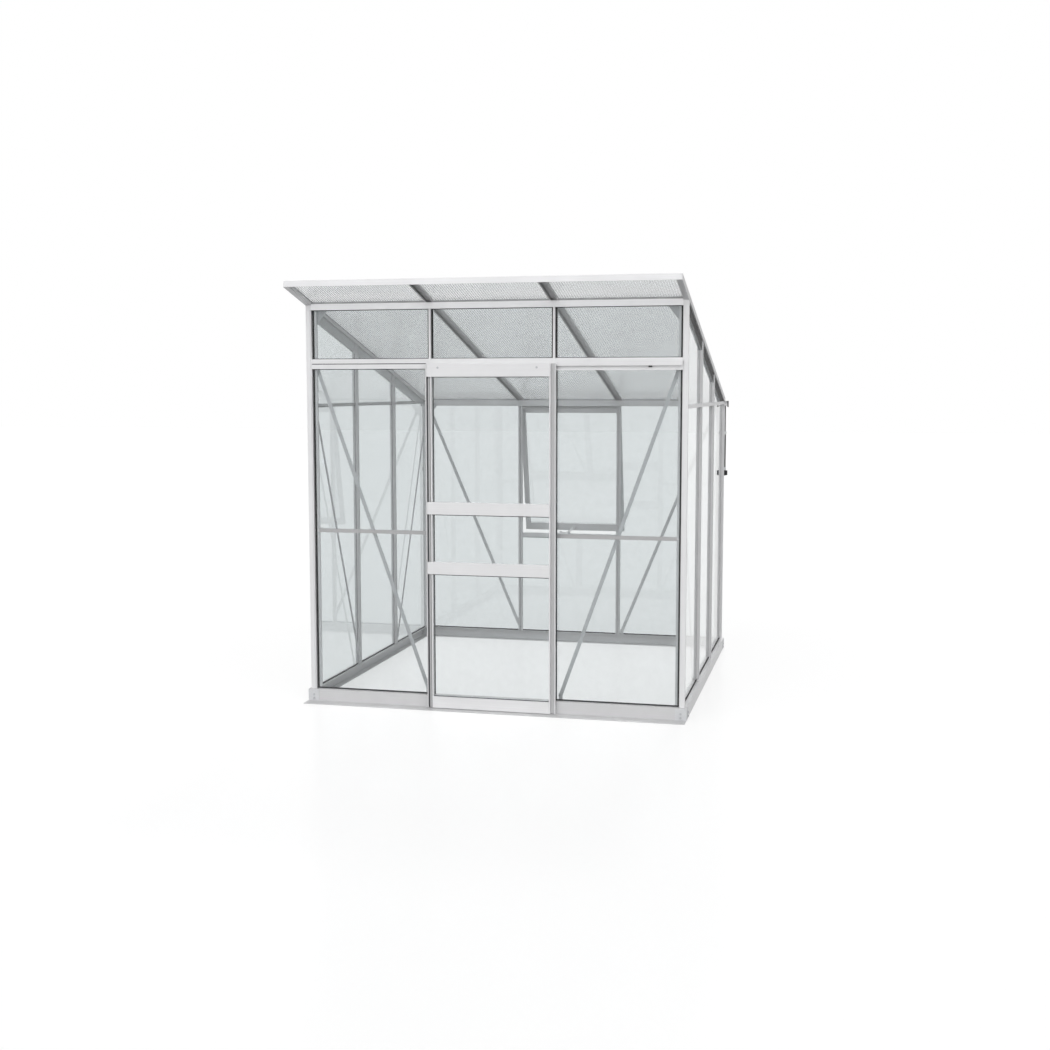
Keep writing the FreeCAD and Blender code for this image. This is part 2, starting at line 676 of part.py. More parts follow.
# Corner posts: full section up to the eave beams, box alone beside them up to the roof
verge_room = group("verge_room", [
    block("verge_room_block", (-half_width * 2, half_width * 2), (0, depth * 2),
          (0, S.verge_depth))], ROOF)
front_posts = []
back_posts = []
for side, end in corners:
    name = "%s_%s_post" % (end.__name__, side.__name__)
    top = eave_front if end is front else eave_back
    loops = [[(side(0, a)[0], end(0, b)[1]) for a, b in loop]
             for loop in (post_profile(), post_core())]
    lower = extrusion(name + "_section", "Z", loops, S.base_height, top)
    x_limits = sorted((side(0, 0)[0], side(0, S.post_box)[0]), key=lambda item: item.value)
    y_limits = (zero, S.post_box) if end is front else (depth - S.post_box, depth)
    head = block(name + "_head", x_limits, y_limits, (top, roof_level(y_limits[0], zero)))
    posts = front_posts if end is front else back_posts
    posts.append(fuse(name, (lower, head)))
for end, posts in ((front, front_posts), (back, back_posts)):
    label = end.__name__ + "_corner_posts"
    nodes.append(cut(label, group(label + "_uncut", posts), [verge_room]))

# Glazing bars
def bar_section(wall, line):
    return [wall(line + u, v) for u, v in bar_profile(True)]


nodes.append(group("front_glazing_bars", [
    extrusion("front_bar_%d" % i, "Z", [bar_section(front, line)], S.base_height, eave_front)
    for i, line in enumerate(bar_lines, 1)]))
nodes.append(group("back_glazing_bars", [
    extrusion("back_bar_%d" % i, "Z", [bar_section(back, line)], S.base_height, eave_back)
    for i, line in enumerate(bar_lines, 1)]))
for wall in (left, right):
    name = wall.__name__
    nodes.append(group(name + "_glazing_bars", [
        extrusion("%s_bar_%d" % (name, i), "Z", [bar_section(wall, line)], S.base_height,
                  roof_level(line + bar_half, zero) - S.face_play)
        for i, line in enumerate(side_lines, 1)]))

# Eave beams, hollow, their tops cut to the roof slope
beam_end = half_width - S.post_box


def beam_loops(inner, outer, low):
    """Hollow beam between two places along Y, its top in the plane under the roof bars."""
    wall = S.section_wall
    top = [(outer, roof_level(outer, S.bar_rest)), (inner, roof_level(inner, S.bar_rest))]
    near, far = inner + wall, outer - wall
    hollow = [(near, low + wall), (far, low + wall),
              (far, roof_level(far, S.bar_rest) - wall * 2),
              (near, roof_level(near, S.bar_rest) - wall * 2)]
    return [[(inner, low), (outer, low)] + top, hollow]


back_beam = extrusion("back_beam_section", "X",
                      beam_loops(depth - S.beam_depth, depth, eave_back), -beam_end, beam_end)
shelf_low = eave_back + S.section_wall
shelf_high = shelf_low + S.section_wall
neck = S.section_wall / 2
hinge_half = leaf_width / 2
hinge_shelf = extrusion("hinge_shelf", "X", [[
    (depth - S.section_wall, shelf_low), (hinge_y - neck, shelf_low),
    (hinge_y - neck, hinge_height), (hinge_y + neck, hinge_height),
    (hinge_y + neck, shelf_high), (depth - S.section_wall, shelf_high)]],
    -hinge_half, hinge_half)
hinge_bead = rod("hinge_bead", "X", (hinge_y, hinge_height), S.bead_radius,
                 -hinge_half, hinge_half)

# Rails between the bars
bay_starts = (-half_width + S.post_box, bar_lines[0] + S.bar_web / 2,
              bar_lines[1] + S.bar_web / 2)
bay_ends = (bar_lines[0] - S.bar_web / 2, bar_lines[1] - S.bar_web / 2,
            half_width - S.post_box)
side_starts = (S.post_box,) + tuple(line + S.bar_web / 2 for line in side_lines)
side_ends = tuple(line - S.bar_web / 2 for line in side_lines) + (depth - S.post_box,)

transoms = []
for i in range(BAYS):
    fixed = i != 1
    profile = rail_profile(transom_low, S.transom_height, True, fixed, True)
    transoms.append(extrusion("transom_%d" % (i + 1), "X", [on_wall(front, profile)],
                              bay_starts[i], bay_ends[i]))
nodes.append(group("front_transoms", transoms))

side_profile = rail_profile(side_rail_low, S.side_rail_height, True, True, False)
side_rails = [extrusion("%s_rail_%d" % (wall.__name__, i + 1), "Y",
                        [on_side(wall, side_profile)], side_starts[i], side_ends[i])
              for wall in (left, right) for i in range(BAYS)]
nodes.append(cut("side_eave_rails", group("side_rail_pieces", side_rails), [verge_room]))

sill_profile = rail_profile(sill_low, S.sill_height, False, True, False)
nodes.append(extrusion("window_sill_rail", "X", [on_wall(back, sill_profile)],
                       bay_starts[1], bay_ends[1]))

strip_low, strip_high = S.joint_low, S.joint_low + S.joint_height
slot_front, slot_back = pane_face - S.face_play / 2, pane_back + S.face_play / 2
strip_profile = [(slot_front - S.strip_wall, strip_low), (slot_front, strip_low),
                 (slot_front, strip_low + S.rebate), (slot_back, strip_low + S.rebate),
                 (slot_back, strip_low), (slot_back + S.strip_wall, strip_low),
                 (slot_back + S.strip_wall, strip_high), (slot_back, strip_high),
                 (slot_back, strip_high - S.rebate), (slot_front, strip_high - S.rebate),
                 (slot_front, strip_high), (slot_front - S.strip_wall, strip_high)]
post_clear = post_reach - S.post_box + S.face_play
bar_clear = bar_half - S.bar_web / 2 + S.face_play
nodes.append(group("glazing_joint_strips", [
    extrusion("joint_strip_left", "X", [on_wall(front, strip_profile)],
              bay_starts[0] + post_clear, bay_ends[0] - bar_clear),
    extrusion("joint_strip_right", "X", [on_wall(front, strip_profile)],
              bay_starts[2] + bar_clear, bay_ends[2] - post_clear)]))

# Panes
def pane_span(i):
    """Limits along the front or back of the pane in a bay."""
    start = (i - BAYS / 2) * S.module_width
    return start + pane_edge, start + S.module_width - pane_edge


def side_span(i):
    return bay_line(i) + pane_edge, bay_line(i + 1) - pane_edge


def wall_panes(wall, heights):
    y_limits = sorted((wall(0, pane_face)[1], wall(0, pane_back)[1]), key=lambda v: v.value)
    return [block("%s_pane_%d_%d" % (wall.__name__, i + 1, k + 1), pane_span(i), y_limits, z)
            for i, rows in enumerate(heights) for k, z in enumerate(rows)]


lap = S.rebate - S.face_play * 2
transom_high = transom_low + S.transom_height
top_row = (transom_high - S.rebate, eave_front - S.face_play)
fixed_rows = ((S.base_height, S.joint_low + lap),
              (S.joint_low + S.joint_height - S.rebate, transom_low + lap), top_row)
nodes.append(group("front_panes", wall_panes(front, (fixed_rows, (top_row,), fixed_rows))))
full_row = ((S.base_height, eave_back - S.face_play),)
nodes.append(group("back_panes", wall_panes(
    back, (full_row, ((S.base_height, sill_low + lap),), full_row))))

rail_high = side_rail_low + S.side_rail_height
for wall in (left, right):
    panes = []
    faces = sorted((wall(0, pane_face)[0], wall(0, pane_back)[0]), key=lambda v: v.value)
    for i in range(BAYS):
        near, far = side_span(i)
        name = "%s_pane_%d" % (wall.__name__, i + 1)
        panes.append(block(name + "_lower", faces, (near, far),
                           (S.base_height, side_rail_low + lap)))
        low = rail_high - S.rebate
        slope = [(near, low)]
        if roof_level(far, -S.seal_drop).value > low.value:
            slope += [(far, low), (far, roof_level(far, -S.seal_drop))]
        else:
            slope += [(roof_reach(low, -S.seal_drop), low)]
        slope += [(near, roof_level(near, -S.seal_drop))]
        panes.append(extrusion(name + "_upper", "X", [slope], *faces))
    nodes.append(group(wall.__name__ + "_panes", panes))

# Glazing seals on the seats of every bar and post
def seal_strip(wall, label, u, z):
    low, high = pane_back, S.bar_seat
    (xa, ya), (xb, yb) = wall(length(u[0]), low), wall(length(u[1]), high)
    x = sorted((xa, xb), key=lambda item: item.value)
    y = sorted((ya, yb), key=lambda item: item.value)
    return block(label, x, y, z)


def wall_seals(wall, lines, tops, ends, end_tops):
    """Strips on both sides of each bar and on the two posts of a wall."""
    strips = []
    inner, outward = pane_edge, pane_edge + S.seal_width
    for i, (line, top) in enumerate(zip(lines, tops)):
        for side, (a, b) in enumerate(((line - outward, line - inner),
                                       (line + inner, line + outward))):
            strips.append(seal_strip(wall, "%s_seal_%d_%d" % (wall.__name__, i, side), (a, b),
                                     (S.base_height, top)))
    for i, (end, sign, top) in enumerate(zip(ends, (1, -1), end_tops)):
        a = end + (S.post_box + S.edge_play) * sign
        b = a + S.seal_width * sign
        strips.append(seal_strip(wall, "%s_seal_end_%d" % (wall.__name__, i), (a, b),
                                 (S.base_height, top)))
    return strips


def side_tops(line):
    return roof_level(line + bar_half, -S.seal_drop)


front_top = eave_front - S.face_play
back_top = eave_back - S.face_play
side_end_tops = (roof_level(post_reach, -S.seal_drop), eave_back - S.seal_drop)
seals = wall_seals(front, bar_lines, (front_top,) * 2, (-half_width, half_width),
                   (front_top,) * 2)
seals += wall_seals(back, bar_lines, (back_top,) * 2, (-half_width, half_width),
                    (back_top,) * 2)
for wall in (left, right):
    seals += wall_seals(wall, side_lines, [side_tops(line) for line in side_lines],
                        (zero, depth), side_end_tops)
nodes.append(group("glazing_seals", seals))

# Roof, drawn level in its own frame and tilted about the front wall plane
s_front = -S.roof_front
s_wall = depth / cosine(pitch)
sheet_top = S.sheet_seat + S.sheet_thickness
verge_inner = half_width + S.verge_outset - S.verge_width
verge_outer = half_width + S.verge_outset


def verge_section():
    inner, outer, wall = verge_inner, verge_outer, S.section_wall
    outline = [(inner, 0), (outer, 0)]
    for level in (S.verge_groove_low, S.verge_groove_high):
        end, floor = level + S.verge_groove_width, outer - S.verge_groove
        outline += [(outer, level), (floor, level), (floor, end), (outer, end)]
    outline += [(outer, S.verge_depth), (inner, S.verge_depth),
                (inner, sheet_top + S.face_play), (inner + S.verge_grip, sheet_top + S.face_play),
                (inner + S.verge_grip, S.sheet_seat), (inner, S.sheet_seat)]
    hollow = [(inner + wall, wall), (outer - wall * 2, wall),
              (outer - wall * 2, S.sheet_seat - wall), (inner + wall, S.sheet_seat - wall)]
    return [outline, hollow]


verge = extrusion("verge_section", "Y", verge_section(), s_front, s_wall)
verge_end = block("verge_end", (verge_inner, verge_outer), (s_wall, s_wall + S.section_wall),
                  (0, S.sheet_seat))
verge_pieces = [verge, verge_end]
nodes.append(group("verge_bars", verge_pieces + [
    mirror_x(item.Name + "_left", item) for item in verge_pieces], ROOF))

# Roof bars: the glazing bar's inner half turned upside down, capped from above
s_back = s_wall + S.roof_tail
bar_start = s_front + S.fascia_lip + S.edge_play
bar_stop = s_back - S.fascia_lip - S.edge_play
rise = S.sheet_seat - S.section_wall


def roof_bar_section(line):
    half, web, wall = S.channel_width / 2, S.roof_web / 2, S.section_wall
    low = S.bar_rest
    right_half = [(S.slot_width / 2, low), (half, low), (half, rise), (bar_half, rise),
                  (bar_half, rise + wall), (web, rise + wall), (web, sheet_top)]
    inner = [(half - wall, rise - wall), (half - wall, low + wall),
             (S.slot_width / 2, low + wall)]
    outline = mirrored(inner + right_half)
    return [(line + a, b) for a, b in outline]


nodes.append(group("roof_bars", [
    extrusion("roof_bar_%d" % i, "Y", [roof_bar_section(line)], bar_start, bar_stop)
    for i, line in enumerate(bar_lines, 1)], ROOF))
cap_top = sheet_top + S.cap_thickness
cap_half = S.cap_width / 2
cap_section = [(-cap_half, sheet_top), (cap_half, sheet_top),
               (cap_half, sheet_top + S.cap_thickness / 2), (cap_half - S.cap_thickness, cap_top),
               (S.cap_thickness - cap_half, cap_top),
               (-cap_half, sheet_top + S.cap_thickness / 2)]
nodes.append(group("roof_bar_caps", [
    extrusion("roof_cap_%d" % i, "Y", [[(line + a, b) for a, b in cap_section]],
              bar_start, bar_stop) for i, line in enumerate(bar_lines, 1)], ROOF))


def roof_sheet(label, x0, x1):
    """Twin-wall sheet: two skins and ribs, left by a row of flutes."""
    body = extrusion(label, "Y", [[(x0, S.sheet_seat), (x1, S.sheet_seat), (x1, sheet_top),
                                   (x0, sheet_top)]], s_front, s_back)
    skin = S.sheet_skin
    flute = [(x0 + skin, S.sheet_seat + skin), (x0 + S.rib_pitch, S.sheet_seat + skin),
             (x0 + S.rib_pitch, sheet_top - skin), (x0 + skin, sheet_top - skin)]
    sketch = sketch_on(body, "XZ_Plane", [flute], label + "_flute")
    doc.recompute()
    pocket = body.newObject("PartDesign::Pocket", label + "_flute_cut")
    pocket.Profile = sketch
    pocket.Type = "ThroughAll"
    pattern = body.newObject("PartDesign::LinearPattern", label + "_flutes")
    pattern.Originals = [pocket]
    pattern.Direction = (sketch, ["H_Axis"])
    count = "floor(%s / %s)" % ((x1 - x0 - skin).text, S.rib_pitch.text)
    pattern.setExpression("Occurrences", count)
    pattern.setExpression("Length", "%s * (%s - 1)" % (S.rib_pitch.text, count))
    body.Tip = pattern
    return body


web_half = S.roof_web / 2
grip_edge = verge_inner + S.verge_grip - S.sheet_play
near_web = bar_lines[1] + web_half + S.sheet_play
nodes.append(group("roof_sheets", [
    roof_sheet("roof_sheet_left", -grip_edge, -near_web),
    roof_sheet("roof_sheet_middle", web_half + S.sheet_play - bar_lines[1],
               bar_lines[1] - web_half - S.sheet_play),
    roof_sheet("roof_sheet_right", near_web, grip_edge)], ROOF))


# Fascia over the front ends of the sheets and verge bars, and channel over the sheets' back
# ends; (s, w) in the roof frame
closer_half = verge_inner - S.face_play
closer_under, closer_over = S.sheet_seat - S.section_wall, sheet_top + S.section_wall
front_out, front_lip = s_front - S.section_wall, s_front + S.fascia_lip
fascia_half = verge_outer - S.fascia_inset
fascia_pieces = [
    block("fascia_face", (-fascia_half, fascia_half), (front_out, s_front), (0, S.verge_depth)),
    block("fascia_lower_lip", (-closer_half, closer_half), (s_front, front_lip),
          (closer_under, S.sheet_seat)),
    block("fascia_upper_lip", (-closer_half, closer_half), (s_front, front_lip),
          (sheet_top, closer_over))]
nodes.append(group("roof_front_fascia", [fuse("fascia_whole", fascia_pieces)], ROOF))
back_out, back_lip = s_back + S.section_wall, s_back - S.fascia_lip
back_closer = [(back_out, closer_under), (back_lip, closer_under), (back_lip, S.sheet_seat),
               (s_back, S.sheet_seat), (s_back, sheet_top), (back_lip, sheet_top),
               (back_lip, closer_over), (back_out, closer_over)]
nodes.append(group("roof_back_closer", [
    extrusion("closer_section", "X", [back_closer], -closer_half, closer_half)], ROOF))

# Foam seals between the eave beams and the sheets
seal_bays = [(-closer_half, bar_lines[0] - bar_half - S.face_play),
             (bar_lines[0] + bar_half + S.face_play, bar_lines[1] - bar_half - S.face_play),
             (bar_lines[1] + bar_half + S.face_play, closer_half)]
back_seat = s_wall - S.beam_depth / 2
nodes.append(group("eave_seals", [
    block("%s_seal_%d" % (name, i), span, (start, start + S.eave_seal_depth),
          (S.bar_rest, S.sheet_seat))
    for name, start in (("front_eave", S.eave_seal_inset), ("back_eave", back_seat))
    for i, span in enumerate(seal_bays, 1)], ROOF))

# Rubber seals under the verge bars, between the uprights
verge_seals = []
seal_x = sorted((right(0, S.seal_inset)[0], pane_back * -1 + half_width),
                key=lambda item: item.value)
spans = [(post_reach, side_lines[0] - bar_half), (side_lines[0] + bar_half,
         side_lines[1] - bar_half), (side_lines[1] + bar_half, depth - post_reach)]
for i, (near, far) in enumerate(spans, 1):
    drop = -S.seal_drop
    outline = [(near, roof_level(near, zero)), (near, roof_level(near, drop))]
    if roof_level(far, drop).value > rail_high.value:
        outline += [(far, roof_level(far, drop)), (far, roof_level(far, zero))]
    else:
        outline += [(roof_reach(rail_high, drop), rail_high),
                    (roof_reach(rail_high, zero), rail_high)]
    verge_seals.append(extrusion("verge_seal_%d" % i, "X", [outline], *seal_x))
nodes.append(group("side_verge_seals", verge_seals + [
    mirror_x(item.Name + "_left", item) for item in verge_seals]))

# Gutter behind the back beam
gutter_low = shelf_high
gutter_half = half_width + S.gutter_overhang
gutter_high = gutter_low + S.gutter_height
gutter_inner_top = roof_level(depth, zero) - S.edge_play
gw = S.section_wall
g0, g1 = depth, depth + S.gutter_depth
gutter_outline = [(g0, gutter_low), (g1, gutter_low), (g1, gutter_high),
                  (g1 - S.gutter_lip, gutter_high), (g1 - S.gutter_lip, gutter_high - gw),
                  (g1 - gw, gutter_high - gw), (g1 - gw, gutter_low + gw),
                  (g0 + gw, gutter_low + gw), (g0 + gw, gutter_inner_top),
                  (g0, gutter_inner_top)]
pipe_x = half_width - S.pipe_inset
pipe_y = depth + S.pipe_line
gutter_section = extrusion("gutter_section", "X", [gutter_outline], -gutter_half, gutter_half)
bore = S.pipe_radius - S.pipe_wall * 2
outlets = [rod("outlet_%s" % name, "Z", (pipe_x * sign, pipe_y), bore - S.pipe_wall,
               gutter_low - gw, gutter_low + gw * 2)
           for name, sign in (("left", -1), ("right", 1))]
nodes.append(cut("eave_gutter", gutter_section, outlets))
gutter_cap = block("gutter_cap_right", (gutter_half, gutter_half + S.gutter_cap),
                   (g0 - gw, g1 + gw), (gutter_low - S.cap_drop, gutter_high + gw))
nodes.append(group("gutter_end_caps", [gutter_cap, mirror_x("gutter_cap_left", gutter_cap)]))

# Downpipes: neck, pipe, collars with wall feet and spout
collar_top = collar_upper + S.collar_height
lower_top = collar_lower + S.collar_height
pipe_parts = {"downpipe_necks_and_spouts": [], "downpipes": [], "downpipe_collars": []}


def tube(label, centre, outer, inner, low, high):
    return cut(label, rod(label + "_outside", "Z", centre, outer, low, high),
               [rod(label + "_bore", "Z", centre, inner, low - PAST, high + PAST)])


for name, sign in (("left", -1), ("right", 1)):
    centre = (pipe_x * sign, pipe_y)
    fit = S.pipe_radius - S.pipe_wall - S.face_play
    pipe_parts["downpipe_necks_and_spouts"].append(
        tube("neck_" + name, centre, fit, fit - S.pipe_wall, collar_upper, gutter_low))
    pipe_parts["downpipes"].append(tube("pipe_" + name, centre, S.pipe_radius,
                                        S.pipe_radius - S.pipe_wall, collar_lower,
                                        collar_top))
    ring = S.pipe_radius + S.section_wall
    for level, low, high in (("upper", collar_upper, collar_top),
                             ("lower", collar_lower, lower_top)):
        label = "collar_%s_%s" % (name, level)
        foot_half = S.collar_foot / 2
        foot = block(label + "_foot", (centre[0] - foot_half, centre[0] + foot_half),
                     (depth, pipe_y), (low, high))
        whole = fuse(label + "_whole", (rod(label + "_outside", "Z", centre, ring, low, high),
                                        foot))
        hole = rod(label + "_bore", "Z", centre, S.pipe_radius + S.face_play, low - PAST,
                   high + PAST)
        pipe_parts["downpipe_collars"].append(cut(label, whole, [hole]))
    spout_low = collar_lower - S.spout_height
    reach = S.pipe_radius + S.spout_reach
    mouth = S.spout_height / 2 - gw
    middle = spout_low + S.spout_height / 2
    shoe = fuse("spout_%s_whole" % name, (
        rod("spout_%s_outside" % name, "Z", centre, S.pipe_radius + gw, spout_low,
            collar_lower),
        block("spout_%s_mouth" % name, (centre[0] - reach, centre[0] + reach),
              (pipe_y - mouth, pipe_y + mouth), (middle - mouth, middle + mouth))))
    holes = [rod("spout_%s_bore" % name, "Z", centre, S.pipe_radius - S.pipe_wall,
                 spout_low + gw / 2, collar_lower + PAST),
             block("spout_%s_way" % name, (centre[0] - reach - PAST, centre[0] + reach + PAST),
                   (pipe_y - mouth + gw, pipe_y + mouth - gw),
                   (middle - mouth + gw, middle + mouth - gw))]
    pipe_parts["downpipe_necks_and_spouts"].append(cut("spout_" + name, shoe, holes))
for label, pieces in pipe_parts.items():
    nodes.append(group(label, pieces))

# Braces, gussets and cleats: flat plates bolted to the channels inside the walls
def wall_plate(label, wall, spots, level):
    """Plate from a (u, z) outline, one thickness deep, at a depth from the wall's face."""
    along_x = wall in (front, back)
    index = 1 if along_x else 0
    faces = (wall(0, level)[index], wall(0, level + S.brace_thickness)[index])
    low, high = sorted(faces, key=lambda item: item.value)
    return extrusion(label, "Y" if along_x else "X", [spots], low, high)


spacer_half = S.channel_width / 2 - S.brace_thickness - S.face_play


def strap(label, wall, u0, z0, u1, z1, clipped):
    """Flat brace between two bolt places; clipped cuts its top corner clear of the post."""
    du, dz = u1 - u0, z1 - z0
    span = hypotenuse(du, dz)
    across = S.brace_width / 2
    ex, ez = du / span * across, dz / span * across
    ends = [(u1 + ex + ez, z1 + ez - ex), (u1 + ex - ez, z1 + ez + ex)]
    top = [(u0 - ex - ez, z0 - ez + ex), (u0 - ex + ez, z0 - ez - ex)]
    if clipped:
        sign = 1 if du.value > 0 else -1
        edge = u0 - sign * spacer_half
        inside, outside = (top[0], top[1]) if sign > 0 else (top[1], top[0])
        share = (edge - inside[0]) / (outside[0] - inside[0])
        on_end = (edge, inside[1] + share * (outside[1] - inside[1]))
        on_side = (edge, outside[1] + (edge - outside[0]) * (dz / du))
        top = [inside, on_end, on_side] if sign > 0 else [on_side, on_end, inside]
    return wall_plate(label, wall, ends[::-1] + top[::-1], plate_level)


post_channel = post_reach - S.channel_width / 2
left_post = post_channel - half_width
right_post = half_width - post_channel
foot_level = S.base_height + S.brace_foot
cleat_reach = bar_half + S.cleat_offset
gusset_hold = S.gusset_bolt + bar_depth
gusset_level = eave_back - S.gusset_hang
channel_top = eave_back - S.brace_foot
brace_rows = {
    "front_braces": (
        ("front_brace_left", front, left_post, transom_low + S.brace_rise, "post",
         bar_lines[0] - cleat_reach, foot_level, "cleat"),
        ("front_brace_right", front, right_post, transom_low + S.brace_rise, "post",
         bar_lines[1] + cleat_reach, foot_level, "cleat")),
    "back_braces": (
        ("back_brace_left", back, gusset_hold - half_width, gusset_level, "gusset",
         bar_lines[0], foot_level, "bar"),
        ("back_brace_right", back, half_width - gusset_hold, gusset_level, "gusset",
         bar_lines[1] + cleat_reach, foot_level, "cleat")),
    "side_braces": tuple(row for wall in (left, right) for row in (
        (wall.__name__ + "_brace_front", wall, post_channel, channel_top, "post",
         side_lines[0] - cleat_reach, foot_level, "cleat"),
        (wall.__name__ + "_brace_back", wall, depth - post_channel, channel_top, "post",
         side_lines[1], foot_level + S.brace_foot, "bar")))}
fittings = []
fitting_places = []
channel_places = []
free_places = []
gusset_places = []
brace_nodes = []
channel_head = bar_depth - S.section_wall - S.head_height
free_head = bar_depth - S.head_height
for label, rows in brace_rows.items():
    straps = []
    places = []
    for name, wall, u0, z0, hold0, u1, z1, hold1 in rows:
        straps.append(strap(name, wall, u0, z0, u1, z1, hold0 == "post"))
        for hold, u, z in ((hold0, u0, z0), (hold1, u1, z1)):
            places.append((wall, u, plate_level, z))
            half = spacer_half
            if hold in ("post", "bar"):
                fittings.append(wall_plate(name + "_spacer_" + hold, wall, [
                    (u - half, z - half), (u + half, z - half), (u + half, z + half),
                    (u - half, z + half)], bar_depth))
                channel_places.append((wall, u, channel_head, z))
            else:
                free_places.append((wall, u, free_head, z))
            if hold == "gusset":
                gusset_places.append((wall, u, bar_depth, z))
            if hold == "cleat":
                heel = pane_back + S.face_play
                floor = S.base_height + S.brace_thickness
                half = S.brace_width / 2
                outline = [(heel, S.base_height), (plate_level, S.base_height),
                           (plate_level, z + half), (bar_depth, z + half),
                           (bar_depth, floor), (heel, floor)]
                along_x = wall in (front, back)
                drawn = on_wall(wall, outline) if along_x else on_side(wall, outline)
                fittings.append(extrusion(name + "_cleat", "X" if along_x else "Y", [drawn],
                                          u - half, u + half))
    brace_nodes.append((label, straps, places))
    fitting_places += places
for label, straps, places in brace_nodes:
    nodes.append(cut(label, group(label + "_straps", straps), drills(label, places, S.drill_back)))
nodes.append(cut("brace_cleats", group("cleat_sections", fittings),
                 drills("cleat", fitting_places, S.drill_back)))
add_bolts(brace_bolt, "channel_bolt_at", channel_places)
add_bolts(channel_bolt, "free_bolt_at", free_places)

gussets = []
post_places = []
beam_places = []
for side, end in corners:
    eave = eave_front if end is front else eave_back
    sign = -1 if side is left else 1
    name = "%s_%s_gusset" % (end.__name__, side.__name__)
    corner = (half_width - bar_depth) * sign
    far = (half_width - bar_depth - S.gusset_leg) * sign
    toe = (half_width - post_reach) * sign
    over = S.gusset_lap
    gussets.append(wall_plate(name, end, [
        (corner, eave - S.gusset_leg), (toe, eave - S.gusset_leg), (far, eave),
        (far, eave + over), (corner, eave + over)], bar_depth))
    u = (half_width - post_channel) * sign
    rows = (S.gusset_leg - S.gusset_low, S.gusset_low) if end is front else (S.gusset_low,)
    post_places += [(end, u, bar_depth, eave - row) for row in rows]
    beam_places += [(end, (half_width - bar_depth - inset) * sign, bar_depth, eave + over / 2)
                    for inset in (S.gusset_leg - S.gusset_low, S.gusset_leg - S.gusset_end)]
nodes.append(cut("eave_gusset_plates", group("gusset_sections", gussets),
                 drills("gusset", post_places + beam_places + gusset_places, S.drill_back)))
add_bolts(channel_bolt, "gusset_bolt_at",
          [(wall, u, channel_head, z) for wall, u, v, z in post_places])
screw_start = bar_depth - S.section_wall - S.screw_tail
add_bolts(beam_screw, "beam_screw_at",
          [(wall, u, screw_start, z) for wall, u, v, z in beam_places])
beam_drills = group("beam_drilling", drills("beam", beam_places, S.drill_back))
front_beam = extrusion("front_beam_section", "X",
                       beam_loops(zero, S.beam_depth, eave_front), -beam_end, beam_end)
nodes.append(cut("front_eave_beam", front_beam, [beam_drills]))
nodes.append(cut("back_eave_beam", fuse("back_beam_whole", (back_beam, hinge_shelf, hinge_bead)),
                 [beam_drills]))

# Door track: hood with a running rib, closed by a stop at each end of the rollers' way
track_left = door_left - S.track_overrun
skirt_low = track_low + S.skirt_rise
track_right = verge_inner
track_middle = S.track_depth / 2
rib_top = roller_height - S.roller_groove - S.rib_play
tw = S.track_wall
ledge_reach = S.track_depth - S.ledge_setback
rib_half = S.rib_width / 2
ledge_top = track_low + tw
track_outline = [
    (0, track_low), (-ledge_reach, track_low), (-ledge_reach, ledge_top),
    (-track_middle - rib_half, ledge_top), (-track_middle - rib_half, rib_top),
    (rib_half - track_middle, rib_top), (rib_half - track_middle, ledge_top),
    (-tw, ledge_top), (-tw, track_high - tw), (tw - S.track_depth, track_high - tw),
    (tw - S.track_depth, skirt_low), (-S.track_depth, skirt_low),
    (-S.track_depth, track_high), (0, track_high)]
track = extrusion("track_section", "X", [track_outline], track_left, track_right)
reach = S.roller_radius + S.stop_play
stop_spans = ((axle_left - reach - S.stop_width, axle_left - reach),
              (axle_right + door_travel + reach,
               axle_right + door_travel + reach + S.stop_width))
stop_y = (tw - S.track_depth, -tw)
stop_z = (roller_height, track_high - tw)
nodes.append(track)
track.Label = "door_track"
nodes.append(group("track_stops", [
    block("track_stop_%d" % i, span, stop_y, stop_z) for i, span in enumerate(stop_spans, 1)]))
jamb_right = door_left - S.jamb_play
nodes.append(block("door_jamb_strip", (jamb_right - S.jamb_width, jamb_right), (-tw, 0),
                   (S.base_height, track_low)))

# Sliding door
door_back, door_front = -S.door_gap, -S.door_gap - S.door_depth
glass_line = door_back - S.door_depth / 2
slot_half = S.glass_thickness / 2 + S.face_play
inner_left, inner_right = door_left + S.stile_width, door_right - S.stile_width


def door_stile(label, outer_x, inner_x, sign):
    groove = inner_x - S.door_groove * sign
    return extrusion(label, "Z", [[
        (outer_x, door_back), (inner_x, door_back), (inner_x, glass_line + slot_half),
        (groove, glass_line + slot_half), (groove, glass_line - slot_half),
        (inner_x, glass_line - slot_half), (inner_x, door_front), (outer_x, door_front)]],
        S.door_low, door_high)


def grooved_rail(label, y0, y1, line, low, high, ends, below, above):
    """Frame rail along X with a glass groove in its lower or upper face."""
    deep = S.door_groove
    outline = [(y0, low)]
    if below:
        outline += [(line - slot_half, low), (line - slot_half, low + deep),
                    (line + slot_half, low + deep), (line + slot_half, low)]
    outline += [(y1, low), (y1, high)]
    if above:
        outline += [(line + slot_half, high), (line + slot_half, high - deep),
                    (line - slot_half, high - deep), (line - slot_half, high)]
    outline += [(y0, high)]
    return extrusion(label, "X", [outline], *ends)


nodes.append(group("door_stiles", [
    door_stile("door_left_stile", door_left, inner_left, 1),
    door_stile("door_right_stile", door_right, inner_right, -1)]))
door_ends = (inner_left, inner_right)
top_low = door_high - S.door_top_height
bottom_high = S.door_low + S.door_bottom_height
axles = (("left", axle_left), ("right", axle_right))


def door_rail(label, low, high, below, above):
    return grooved_rail(label, door_front, door_back, glass_line, low, high, door_ends,
                        below, above)


